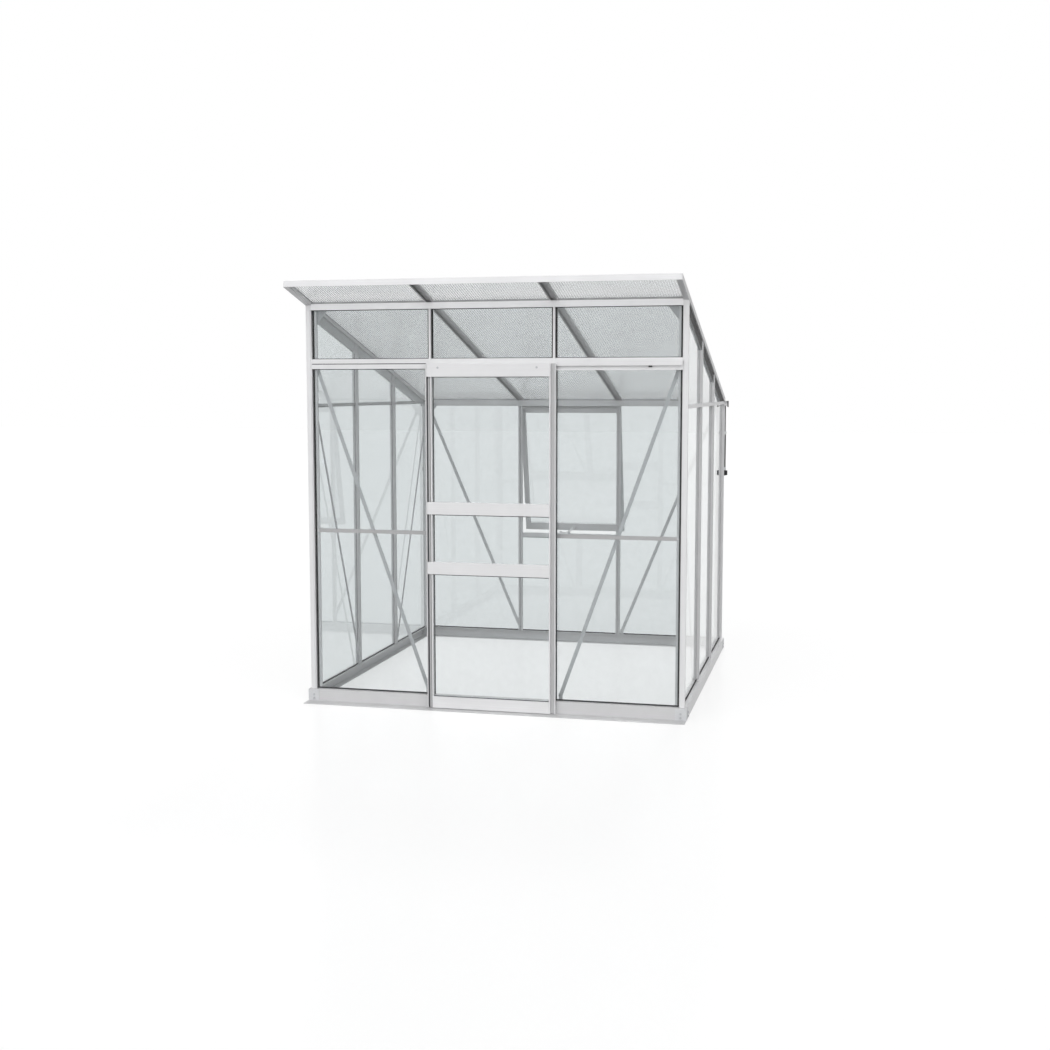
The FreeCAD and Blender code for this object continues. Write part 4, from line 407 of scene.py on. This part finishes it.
def moulded(name, colour, roughness, grain_scale=700.0, relief=0.08):
    """Moulded plastic or rubber: pebble grain in the relief, uneven patches in the sheen."""
    material, tree, shader, point = new_material(name)
    grain = tree.nodes.new("ShaderNodeGroup")
    grain.node_tree = moulded_grain_group()
    join(tree, point, grain.inputs["Point"])
    grain.inputs["Grain Scale"].default_value = grain_scale
    mask = spread(tree, grain.outputs["Patches"], 0.0, 1.0)
    join(tree, tint(tree, mask, shade(colour, 0.85), shade(colour, 1.2)),
         shader.inputs["Base Color"])
    join(tree, spread(tree, grain.outputs["Patches"], roughness - 0.06, roughness + 0.08),
         shader.inputs["Roughness"])
    bump = add_node(tree, "ShaderNodeBump", {"Height": grain.outputs["Grain"], "Strength": relief,
                                             "Distance": 0.0003})
    join(tree, bump.outputs["Normal"], shader.inputs["Normal"])
    return material


def black_and_pale_seal(name, skin, painted_light_inside, face):
    """Black outside the face's middle plane, and inside it, where |X| is smaller, a pale colour
    that is painted light."""
    material, tree, shader, point = new_material(name)
    grain = tree.nodes.new("ShaderNodeGroup")
    grain.node_tree = moulded_grain_group()
    join(tree, point, grain.inputs["Point"])
    grain.inputs["Grain Scale"].default_value = 900.0
    parts = add_node(tree, "ShaderNodeSeparateXYZ", {"Vector": point})
    reach = add_node(tree, "ShaderNodeMath", {0: parts.outputs["X"]}, operation="ABSOLUTE")
    outside = add_node(tree, "ShaderNodeMath", {0: reach.outputs[0], 1: face},
                       operation="GREATER_THAN")
    join(tree, tint(tree, outside.outputs[0], painted_light_inside, skin), shader.inputs["Base Color"])
    join(tree, spread(tree, grain.outputs["Patches"], 0.6, 0.75), shader.inputs["Roughness"])
    bump = add_node(tree, "ShaderNodeBump", {"Height": grain.outputs["Grain"], "Strength": 0.1,
                                             "Distance": 0.0003})
    join(tree, bump.outputs["Normal"], shader.inputs["Normal"])
    return material


def dress(nodes, material):
    """Give CAD nodes a material."""
    for name in nodes:
        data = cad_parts[name].data
        data.materials.clear()
        data.materials.append(material)


# Shapes


def roof_points(x, s, w):
    """Points of the roof frame in the model's frame: the slope is turned down about X."""
    x, s, w = np.broadcast_arrays(x, s, w)
    return np.stack((x, s * math.cos(ROOF_PITCH) + w * math.sin(ROOF_PITCH),
                     VERGE_HEIGHT - s * math.sin(ROOF_PITCH) + w * math.cos(ROOF_PITCH)), axis=-1)


def side_faces(rows, columns):
    """Quads between neighbours of a grid of points, the last column joined to the first."""
    row, column = np.meshgrid(np.arange(rows - 1), np.arange(columns), indexing="ij")
    after = (column + 1) % columns
    corners = (row * columns + column, row * columns + after, (row + 1) * columns + after,
               (row + 1) * columns + column)
    return np.stack(corners, axis=-1).reshape(-1, 4)


def cap_faces(columns, offset=0, turned=False):
    """Quads across a ring of points, each pair joined to the pair that faces it."""
    near = np.arange(columns // 2 - 1)
    far = columns - 1 - near
    order = (near, far, far - 1, near + 1)
    faces = np.stack(order[::-1] if turned else order, axis=-1)
    return faces + offset


def volume(points, faces):
    """Signed volume inside quads: the sum of the tetrahedra from the origin to their halves."""
    a, b, c, d = (points[faces[:, corner]] for corner in range(4))
    return (np.sum(a * np.cross(b, c)) + np.sum(a * np.cross(c, d))) / 6


def prism(rings):
    """A closed solid from rings of points, one ring a row: sides, and a cap on each end. Its
    faces look outwards, which a volume above zero shows."""
    rows, columns = rings.shape[:2]
    points = rings.reshape(-1, 3)
    faces = np.concatenate((side_faces(rows, columns), cap_faces(columns),
                            cap_faces(columns, (rows - 1) * columns, turned=True)))
    return points, faces if volume(points, faces) > 0 else faces[:, ::-1]


def put_together(solids):
    """One list of points and faces from several."""
    points, faces, count = [], [], 0
    for some_points, some_faces in solids:
        points.append(some_points)
        faces.append(some_faces + count)
        count += len(some_points)
    return np.concatenate(points), np.concatenate(faces)


def new_piece(name, solids, material, body):
    """A mesh object from closed solids, riding on a body, with its material and slot."""
    points, faces = put_together(solids)
    mesh = bpy.data.meshes.new(name)
    mesh.vertices.add(len(points))
    mesh.vertices.foreach_set("co", points.astype(np.float32).ravel())
    mesh.loops.add(faces.size)
    mesh.loops.foreach_set("vertex_index", faces.astype(np.int32).ravel())
    mesh.polygons.add(len(faces))
    mesh.polygons.foreach_set("loop_start", np.arange(0, faces.size, 4, dtype=np.int32))
    mesh.polygons.foreach_set("use_smooth", np.zeros(len(faces), bool))
    mesh.update(calc_edges=True)
    mesh.validate()
    piece = bpy.data.objects.new(name, mesh)
    bpy.context.scene.collection.objects.link(piece)
    mesh.materials.append(material)
    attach(piece, body)
    return piece


def fluted_sheet(x_limits, pitch, relief):
    """A twin-wall sheet as one closed skin: across the width each face stands full height over
    the ribs and sinks by the relief halfway between them, as (1 - cos) / 2; the section is
    carried down the slope."""
    low, high = x_limits
    cells = max(1, round((high - low) / pitch))
    x = np.linspace(low, high, cells * 6 + 1)
    turn = 2 * math.pi * cells * (x - low) / (high - low)
    sink = relief * (1 - np.cos(turn)) / 2
    across = np.concatenate((x, x[::-1]))
    height = np.concatenate((SHEET_W[0] + sink, SHEET_W[1] - sink[::-1]))
    rings = roof_points(across[None, :], np.linspace(*SHEET_S, 12)[:, None], height[None, :])
    return prism(rings)


def wall_points(wall, u, v, z):
    """Points of a wall's frame in the model's frame."""
    u, v, z = np.broadcast_arrays(u, v, z)
    if wall == "front":
        parts = (u, v, z)
    elif wall == "back":
        parts = (-u, DEPTH - v, z)
    elif wall == "left":
        parts = (v - HALF_WIDTH, DEPTH - u, z)
    else:
        parts = (HALF_WIDTH - v, u, z)
    return np.stack(parts, axis=-1)


def thin_wall(centre_line, thickness):
    """Outline of a strip of even thickness: the line set off to both sides along the mitre of its
    corners, out along one side and back along the other."""
    line = np.array(centre_line, float)
    step = np.diff(line, axis=0)
    step /= np.linalg.norm(step, axis=1)[:, None]
    before = np.concatenate((step[:1], step))
    after = np.concatenate((step, step[-1:]))
    mitre = before + after
    mitre /= np.linalg.norm(mitre, axis=1)[:, None]
    square = np.stack((-mitre[:, 1], mitre[:, 0]), axis=1)
    reach = thickness / 2 / np.sum(mitre * after, axis=1)
    offset = square * reach[:, None]
    return np.concatenate((line + offset, (line - offset)[::-1]))


def rounded_bar(width, depth, radius):
    """Outline of a bar seen end on: a rectangle whose corners are quarter circles, listed down
    its left half and back up its right half."""
    turn = np.linspace(0, math.pi / 2, CORNER_POINTS)[::-1]
    upper = np.stack((-(width / 2 - radius) - radius * np.cos(turn),
                      depth / 2 - radius + radius * np.sin(turn)), axis=1)
    lower = upper[::-1] * (1, -1)
    left = np.concatenate((upper, lower))
    return np.concatenate((left, left[::-1] * (-1, 1)))


def along_wall(wall, outline, u, v, low, high):
    """A solid whose outline (u, v) stands upright on a wall between two heights."""
    shape = np.array(outline, float) + (u, v)
    heights = np.array((low, high))[:, None]
    return prism(wall_points(wall, shape[None, :, 0], shape[None, :, 1], heights))


def across_wall(wall, outline, v, z, start, end):
    """A solid whose outline (v, z) runs along a wall between two places."""
    shape = np.array(outline, float) + (v, z)
    places = np.array((start, end))[:, None]
    return prism(wall_points(wall, places, shape[None, :, 0], shape[None, :, 1]))


def glazing_bar(wall, line, top):
    """A glazing bar: a nose and web that stand out between the panes, the flange that the panes
    lie against, and the two hooks of the bolt channel behind it."""
    nose = [(-0.0055, 0.003), (-0.0055, 0.0008), (-0.0047, 0), (0.0047, 0), (0.0055, 0.0008),
            (0.0055, 0.003)]
    web = [(-0.004, 0.020), (-0.004, 0.003), (0.004, 0.003), (0.004, 0.020)]
    flange = thin_wall([(-0.014, 0.021), (0.014, 0.021)], WALL_THICK)
    hooks = [thin_wall([(side * 0.007, 0.022), (side * 0.007, 0.032), (side * 0.0035, 0.032)],
                       WALL_THICK) for side in (-1, 1)]
    return [along_wall(wall, outline, line, 0, SILL, top)
            for outline in (nose, web, flange, *hooks)]


def door_stile(inner, outer):
    """A channel open to the front: a thick lip that holds the glass, a floor, a thin lip."""
    sign = 1 if outer > inner else -1
    thick_end, thin_end = inner + sign * THICK_LIP, outer - sign * THIN_LIP
    middle = (DOOR_FRONT + DOOR_BACK) / 2
    depth = DOOR_BACK - DOOR_FRONT
    parts = ((inner, thick_end, middle, depth), (thick_end, thin_end, STILE_FLOOR, FLOOR_THICK),
             (thin_end, outer, middle, depth))
    return [along_wall("front", rounded_bar(abs(end - start), thick, 0.0008), (start + end) / 2,
                       centre, DOOR_LOW, DOOR_TOP) for start, end, centre, thick in parts]


def bar_piece(name, solids, finish, body):
    """A new piece of extruded aluminium in one of the bars' finishes."""
    return new_piece(name, solids, bpy.data.materials["aluminium_" + finish], body)


# Operators


class GREENHOUSE_OT_frame_bars(bpy.types.Operator):
    """Satin finishes on posts, rails and beams, with die lines along each one's length"""

    bl_idname = "greenhouse.frame_bars"
    bl_label = "Frame Bars"

    def execute(self, context):
        look = settings("aluminium")
        fine = 1.0 / look.die_line_width
        slow = 1.6
        colour = look.extrusion_colour
        for name, nodes, scale in (("upright", UPRIGHTS, (fine, fine, slow)),
                                   ("across", ACROSS, (slow, fine, fine)),
                                   ("along", ALONG, (fine, slow, slow))):
            dress(nodes, aluminium("aluminium_" + name, colour, scale, look.metallic,
                                   look.roughness))
        # The base rail's darker copy is painted shade, the eave beam's lighter copy painted light.
        for node, share in TONES_AND_PAINTED_LIGHT:
            dress((node,), aluminium("aluminium_" + node, shade(colour, share),
                                     (slow, fine, fine), look.metallic, look.roughness))
        # A darker copy of the bars' finish: painted shade.
        aluminium("aluminium_painted_shade", shade(colour, PAINTED_SHADE_TONE), (fine, fine, slow),
                  look.metallic, look.roughness)
        return {"FINISHED"}


class GREENHOUSE_OT_wall_bars(bpy.types.Operator):
    """Narrow glazing bars in the four walls"""

    bl_idname = "greenhouse.wall_bars"
    bl_label = "Wall Bars"

    def execute(self, context):
        for wall, bars in BARS.items():
            solids = [solid for line, top in bars for solid in glazing_bar(wall, line, top)]
            piece = bar_piece(wall + "_bar_profiles", solids, "upright", "root")
            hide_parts(wall + "_glazing_bars")
        return {"FINISHED"}


class GREENHOUSE_OT_door_stiles(bpy.types.Operator):
    """Door stiles with two pale lips and a floor between them darker as painted shade"""

    bl_idname = "greenhouse.door_stiles"
    bl_label = "Door Stiles"

    def execute(self, context):
        inner_lips, floors, outer_lips = zip(*map(door_stile, DOOR_INNER, DOOR_OUTER))
        piece = bar_piece("door_stile_lips", inner_lips + outer_lips, "upright", "door")
        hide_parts("door_stiles")
        bar_piece("door_stile_webs", floors, "painted_shade", "door")
        return {"FINISHED"}


class GREENHOUSE_OT_roof_bars(bpy.types.Operator):
    """Roof bars: a channel open downwards, and the rib between the sheets, darker as painted shade
    """

    bl_idname = "greenhouse.roof_bars"
    bl_label = "Roof Bars"

    def execute(self, context):
        channel = thin_wall([(-0.014, 0.0075), (-0.021, 0.0075), (-0.021, 0.017), (0.021, 0.017),
                             (0.021, 0.0075), (0.014, 0.0075)], WALL_THICK)
        rib = np.array([(-0.003, 0.0245), (-0.003, 0.018), (0.003, 0.018), (0.003, 0.0245)])
        ends = np.array(ROOF_BAR_ENDS)[:, None]
        bars = [prism(roof_points(shape[None, :, 0] + line, ends, shape[None, :, 1]))
                for line in ROOF_LINES for shape in (channel, rib)]
        piece = bar_piece("roof_bar_channels", bars, "painted_shade", "root")
        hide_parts("roof_bars")
        return {"FINISHED"}


class GREENHOUSE_OT_door_edges(bpy.types.Operator):
    """The strip that the door closes on, and the faces of its rails over the stiles"""

    bl_idname = "greenhouse.door_edges"
    bl_label = "Door Edges"

    def execute(self, context):
        strip = [along_wall("front", rounded_bar(CLOSING_WIDTH, WALL_THICK, 0.0006),
                            CLOSING_LINE, -WALL_THICK / 2, SILL, CLOSING_TOP)]
        piece = bar_piece("closing_strip", strip, "upright", "root")
        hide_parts("door_jamb_strip")
        covers = [across_wall("front", rounded_bar(COVER_THICK, high - low, 0.001),
                              DOOR_FRONT - COVER_THICK / 2, (low + high) / 2, *COVER_ENDS)
                  for low, high in DOOR_RAILS[1:]]
        bar_piece("door_rail_covers", covers, "across", "door")
        return {"FINISHED"}


class GREENHOUSE_OT_pressed_plates(bpy.types.Operator):
    """Rolled sheet finish on the braces, cleats, gussets and corner plates"""

    bl_idname = "greenhouse.pressed_plates"
    bl_label = "Pressed Plates"

    def execute(self, context):
        look = settings("aluminium")
        dress(PRESSED, aluminium("rolled_sheet", look.sheet_colour, (160, 160, 160),
                                 look.metallic, look.roughness + 0.06, cloud_scale=30.0))
        return {"FINISHED"}


class GREENHOUSE_OT_wall_panes(bpy.types.Operator):
    """Clear, slightly green float glass in the walls, the door and the window"""

    bl_idname = "greenhouse.wall_panes"
    bl_label = "Wall Panes"

    def execute(self, context):
        dress(PANES, glazing("float_glass", settings("glazing").pane_colour))
        return {"FINISHED"}


class GREENHOUSE_OT_roof_sheets(bpy.types.Operator):
    """Ribbed translucent sheets on the roof"""

    bl_idname = "greenhouse.roof_sheets"
    bl_label = "Roof Sheets"

    def execute(self, context):
        look = settings("glazing")
        material = ribbed_sheet("twin_wall_sheet", look.roof_colour, look.rib_spacing)
        dress(("roof_sheets",), material)
        sheets = [fluted_sheet(limits, look.rib_spacing, SHEET_RELIEF) for limits in SHEET_X]
        piece = new_piece("ribbed_roof_sheets", sheets, material, "root")
        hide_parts("roof_sheets")
        return {"FINISHED"}


class GREENHOUSE_OT_seals(bpy.types.Operator):
    """Black rubber strips at the panes, eaves and verges"""

    bl_idname = "greenhouse.seals"
    bl_label = "Rubber Seals"

    def execute(self, context):
        look = settings("trim")
        dress(("glazing_seals",), moulded("seal_rubber", look.rubber_colour, 0.62, 1100.0))
        dress(("eave_seals",), moulded("foam_seal", look.foam_colour, 0.8, 500.0, 0.4))
        outer_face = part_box("side_verge_seals")[1][0]
        # The verge seals are black outside and pale inside; the pale side, the foam colour
        # lightened 2.4 times, is painted light.
        dress(("side_verge_seals",),
              black_and_pale_seal("black_and_pale_verge_seal", look.rubber_colour, shade(look.foam_colour, 2.4),
                            outer_face - 0.0008))

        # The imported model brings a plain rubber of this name, and the new strips take that one.
        rubber = bpy.data.materials["seal_rubber"]

        # Lips before and behind the panes on the sill rails, beads round the upper front panes,
        # and a black strip on the left transom, painted shade of its groove.
        lip = rounded_bar(0.002, 0.007, 0.0008)
        bead = rounded_bar(0.0022, 0.0032, 0.001)
        rows = [("front", bay) for bay in BAYS[::2]] + [("back", bay) for bay in BAYS]
        rows += [(wall, side) for wall in ("left", "right") for side in SIDES]
        sills = [across_wall(wall, lip, v, SILL + 0.0035, *ends) for wall, ends in rows
                 for v in LIP_DEPTHS]
        sills += [across_wall("front", bead, BEAD_DEPTH, height, *bay) for bay in BAYS
                  for height in UPPER_PANE_EDGES]
        sills += [across_wall("front", bead, BEAD_DEPTH, LOWER_PANE_EDGE, *bay)
                  for bay in BAYS[::2]]
        sills.append(across_wall("front", rounded_bar(0.002, 0.004, 0.0006), PAINTED_GROOVE_DEPTH,
                                 PAINTED_GROOVE_HEIGHT, *BAYS[0]))
        new_piece("sill_seals", sills, rubber, "root")

        # Beads under the door's upper rails and over its lowest, and two black strips in its left
        # stile's recess, painted shade.
        beads = [across_wall("front", bead, DOOR_FRONT - 0.0005, low - BEAD_GAP, *DOOR_INNER)
                 for low, high in DOOR_RAILS[1:]]
        beads.append(across_wall("front", bead, DOOR_FRONT + 0.006, DOOR_RAILS[0][1] + BEAD_GAP,
                                 *DOOR_INNER))
        beads += [along_wall("front", rounded_bar(0.005, 0.004, 0.001), u, -0.029, DOOR_LOW,
                             DOOR_TOP) for u in STILE_SHADE_BEADS]
        new_piece("door_beads", beads, rubber, "door")
        return {"FINISHED"}


class GREENHOUSE_OT_brush_strips(bpy.types.Operator):
    """Dense dark pile at the door's edges"""

    bl_idname = "greenhouse.brush_strips"
    bl_label = "Brush Strips"

    def execute(self, context):
        dress(("door_brush_seals",),
              moulded("brush_pile", settings("trim").pile_colour, 0.85, 1600.0, 0.6))
        return {"FINISHED"}


class GREENHOUSE_OT_mouldings(bpy.types.Operator):
    """Black mouldings of the gutter's ends, downpipes, rollers and stops, and grey collars"""

    bl_idname = "greenhouse.mouldings"
    bl_label = "Mouldings"

    def execute(self, context):
        look = settings("trim")
        dress(MOULDED, moulded("black_moulding", look.moulding_colour, 0.42))
        dress(("downpipe_collars",), moulded("grey_moulding", look.collar_colour, 0.36, 900.0))
        return {"FINISHED"}


class GREENHOUSE_OT_fasteners(bpy.types.Operator):
    """Zinc plating on the bolts, the door's hangers and the stay's peg"""

    bl_idname = "greenhouse.fasteners"
    bl_label = "Fasteners"

    def execute(self, context):
        dress(PLATED, aluminium("zinc_plating", settings("trim").plating_colour, (220, 220, 220),
                                0.9, 0.3, cloud_scale=60.0))
        return {"FINISHED"}


def distant_lamp(name, direction, level, angle):
    """A lamp far off in the given direction; its own -Z points back along it."""
    data = bpy.data.lights.new(name, "SUN")
    data.energy = level
    data.angle = angle
    item = bpy.data.objects.new(name, data)
    bpy.context.scene.collection.objects.link(item)
    back = np.array(direction, float) / np.linalg.norm(direction)
    side = np.cross((0, 0, 1), back)
    side /= np.linalg.norm(side)
    turn = np.stack((side, np.cross(back, side), back), axis=1)
    place = back * 20
    item.matrix_world = [[*turn[row], place[row]] for row in range(3)] + [[0, 0, 0, 1]]


def seen_directly(tree):
    """1 where a ray reaches the eye straight, through glass or by a mirror, and 0 where the
    light falls on something dull first."""
    path = tree.nodes.new("ShaderNodeLightPath")
    shown = add_node(tree, "ShaderNodeMath", {0: path.outputs["Is Camera Ray"],
                                              1: path.outputs["Is Transmission Ray"]},
                     operation="MAXIMUM")
    either = add_node(tree, "ShaderNodeMath", {0: shown.outputs[0],
                                               1: path.outputs["Is Glossy Ray"]},
                      operation="MAXIMUM")
    sharp = add_node(tree, "ShaderNodeMath", {0: path.outputs["Diffuse Depth"], 1: 0.5},
                     operation="LESS_THAN")
    return add_node(tree, "ShaderNodeMath", {0: either.outputs[0], 1: sharp.outputs[0]},
                    operation="MULTIPLY").outputs[0]


def open_to_lamps(tree, shader, share):
    """Lets that share of a lamp's light straight through each face, as clear sheet does."""
    path = tree.nodes.new("ShaderNodeLightPath")
    part = add_node(tree, "ShaderNodeMath", {0: path.outputs["Is Shadow Ray"], 1: share},
                    operation="MULTIPLY")
    rest = add_node(tree, "ShaderNodeMath", {0: 1.0, 1: part.outputs[0]}, operation="SUBTRACT")
    join(tree, rest.outputs[0], shader.inputs["Alpha"])


class GREENHOUSE_OT_stage(bpy.types.Operator):
    """Pale floor, white surroundings, one soft lamp and the camera"""

    bl_idname = "greenhouse.stage"
    bl_label = "Stage"

    def execute(self, context):
        look = settings("stage")
        scene = context.scene
        scene.view_settings.view_transform = "Standard"

        # World: plain white where it is seen, and where it only lights, a fill that is stronger
        # from the front.
        world = bpy.data.worlds.new("white_room")
        scene.world = world
        world.use_nodes = True
        tree = world.node_tree
        tree.nodes.clear()
        place = tree.nodes.new("ShaderNodeTexCoord")
        facing = add_node(tree, "ShaderNodeVectorMath",
                          {0: place.outputs["Generated"], 1: FRONT_FILL_FROM},
                          operation="DOT_PRODUCT")
        level = add_node(tree, "ShaderNodeMapRange",
                         {"Value": facing.outputs["Value"], "From Min": 0.1, "From Max": 1.0,
                          "To Min": look.fill_level,
                          "To Max": look.fill_level + look.front_level},
                         interpolation_type="SMOOTHSTEP")
        fill = add_node(tree, "ShaderNodeBackground", {"Color": (1, 1, 1, 1),
                                                       "Strength": level.outputs["Result"]})
        white = add_node(tree, "ShaderNodeBackground", {"Color": (1, 1, 1, 1), "Strength": 1.0})
        mix = add_node(tree, "ShaderNodeMixShader", {"Fac": seen_directly(tree)})
        join(tree, fill.outputs[0], mix.inputs[1])
        join(tree, white.outputs[0], mix.inputs[2])
        output = tree.nodes.new("ShaderNodeOutputWorld")
        join(tree, mix.outputs[0], output.inputs["Surface"])

        # Floor: a flat sheet that shows as near white and keeps a pale shadow.
        mesh = bpy.data.meshes.new("floor")
        mesh.from_pydata([(-FLOOR_REACH, FLOOR_NEAR, 0), (FLOOR_REACH, FLOOR_NEAR, 0),
                          (FLOOR_REACH, FLOOR_FAR, 0), (-FLOOR_REACH, FLOOR_FAR, 0)],
                         [], [(0, 1, 2, 3)])
        floor = bpy.data.objects.new("floor", mesh)
        scene.collection.objects.link(floor)
        floor.location.z = -FLOOR_DROP
        material = bpy.data.materials.new("pale_floor")
        material.use_nodes = True
        tree = material.node_tree
        tree.nodes.clear()
        colour = tint(tree, seen_directly(tree), FLOOR_LIT, FLOOR_SEEN)
        base = add_node(tree, "ShaderNodeBsdfPrincipled", {"Base Color": colour,
                                                           "Roughness": 0.22})
        glow = add_node(tree, "ShaderNodeEmission", {"Color": (1, 1, 1, 1),
                                                       "Strength": FLOOR_GLOW})
        share = add_node(tree, "ShaderNodeMath", {0: seen_directly(tree), 1: GLOW_SHARE},
                         operation="MULTIPLY")
        mix = add_node(tree, "ShaderNodeMixShader", {"Fac": share.outputs[0]})
        join(tree, base.outputs[0], mix.inputs[1])
        join(tree, glow.outputs[0], mix.inputs[2])
        output = tree.nodes.new("ShaderNodeOutputMaterial")
        join(tree, mix.outputs[0], output.inputs["Surface"])
        mesh.materials.append(material)

        # Lamp: one soft distant light from the front and right, at half height.
        distant_lamp("key", look.key_direction, look.key_level, look.key_angle)

        # Camera: at the height of the eye, in front and to the right.
        data = bpy.data.cameras.new("camera")
        data.sensor_width = 36
        data.lens = look.focal_length
        data.clip_start = 0.05
        data.clip_end = 500
        camera = bpy.data.objects.new("camera", data)
        scene.collection.objects.link(camera)
        camera.location = look.camera_place
        camera.rotation_mode = "XYZ"
        camera.rotation_euler = (math.pi / 2 + look.camera_pitch, look.camera_roll, look.camera_yaw)
        scene.camera = camera
        return {"FINISHED"}


# In the order they run: the frame bars' finishes come before the pieces that take them.
OPERATORS = (GREENHOUSE_OT_frame_bars, GREENHOUSE_OT_wall_bars, GREENHOUSE_OT_door_stiles,
             GREENHOUSE_OT_roof_bars, GREENHOUSE_OT_door_edges, GREENHOUSE_OT_pressed_plates,
             GREENHOUSE_OT_wall_panes, GREENHOUSE_OT_roof_sheets, GREENHOUSE_OT_seals,
             GREENHOUSE_OT_brush_strips, GREENHOUSE_OT_mouldings, GREENHOUSE_OT_fasteners,
             GREENHOUSE_OT_stage)


class GREENHOUSE_PT_pieces(bpy.types.Panel):
    """Lists the settings and the operators in the order they run"""

    bl_label = "Greenhouse"
    bl_idname = "GREENHOUSE_PT_pieces"
    bl_space_type = "VIEW_3D"
    bl_region_type = "UI"
    bl_category = "Greenhouse"

    def draw(self, context):
        for name, kind in SETTING_GROUPS:
            box = self.layout.box()
            box.label(text=name.capitalize())
            group = settings(name)
            for key in kind.__annotations__:
                box.prop(group, key)
        column = self.layout.column()
        for operator in OPERATORS:
            column.operator(operator.bl_idname)


def register():
    for name, kind in SETTING_GROUPS:
        bpy.utils.register_class(kind)
        setattr(bpy.types.Scene, "greenhouse_" + name, bpy.props.PointerProperty(type=kind))
    for kind in (*OPERATORS, GREENHOUSE_PT_pieces):
        bpy.utils.register_class(kind)


def unregister():
    for kind in (GREENHOUSE_PT_pieces, *reversed(OPERATORS)):
        bpy.utils.unregister_class(kind)
    for name, kind in reversed(SETTING_GROUPS):
        delattr(bpy.types.Scene, "greenhouse_" + name)
        bpy.utils.unregister_class(kind)


def main():
    register()
    for operator in OPERATORS:
        group, name = operator.bl_idname.split(".")
        getattr(getattr(bpy.ops, group), name)()


if __name__ == "__main__":
    main()
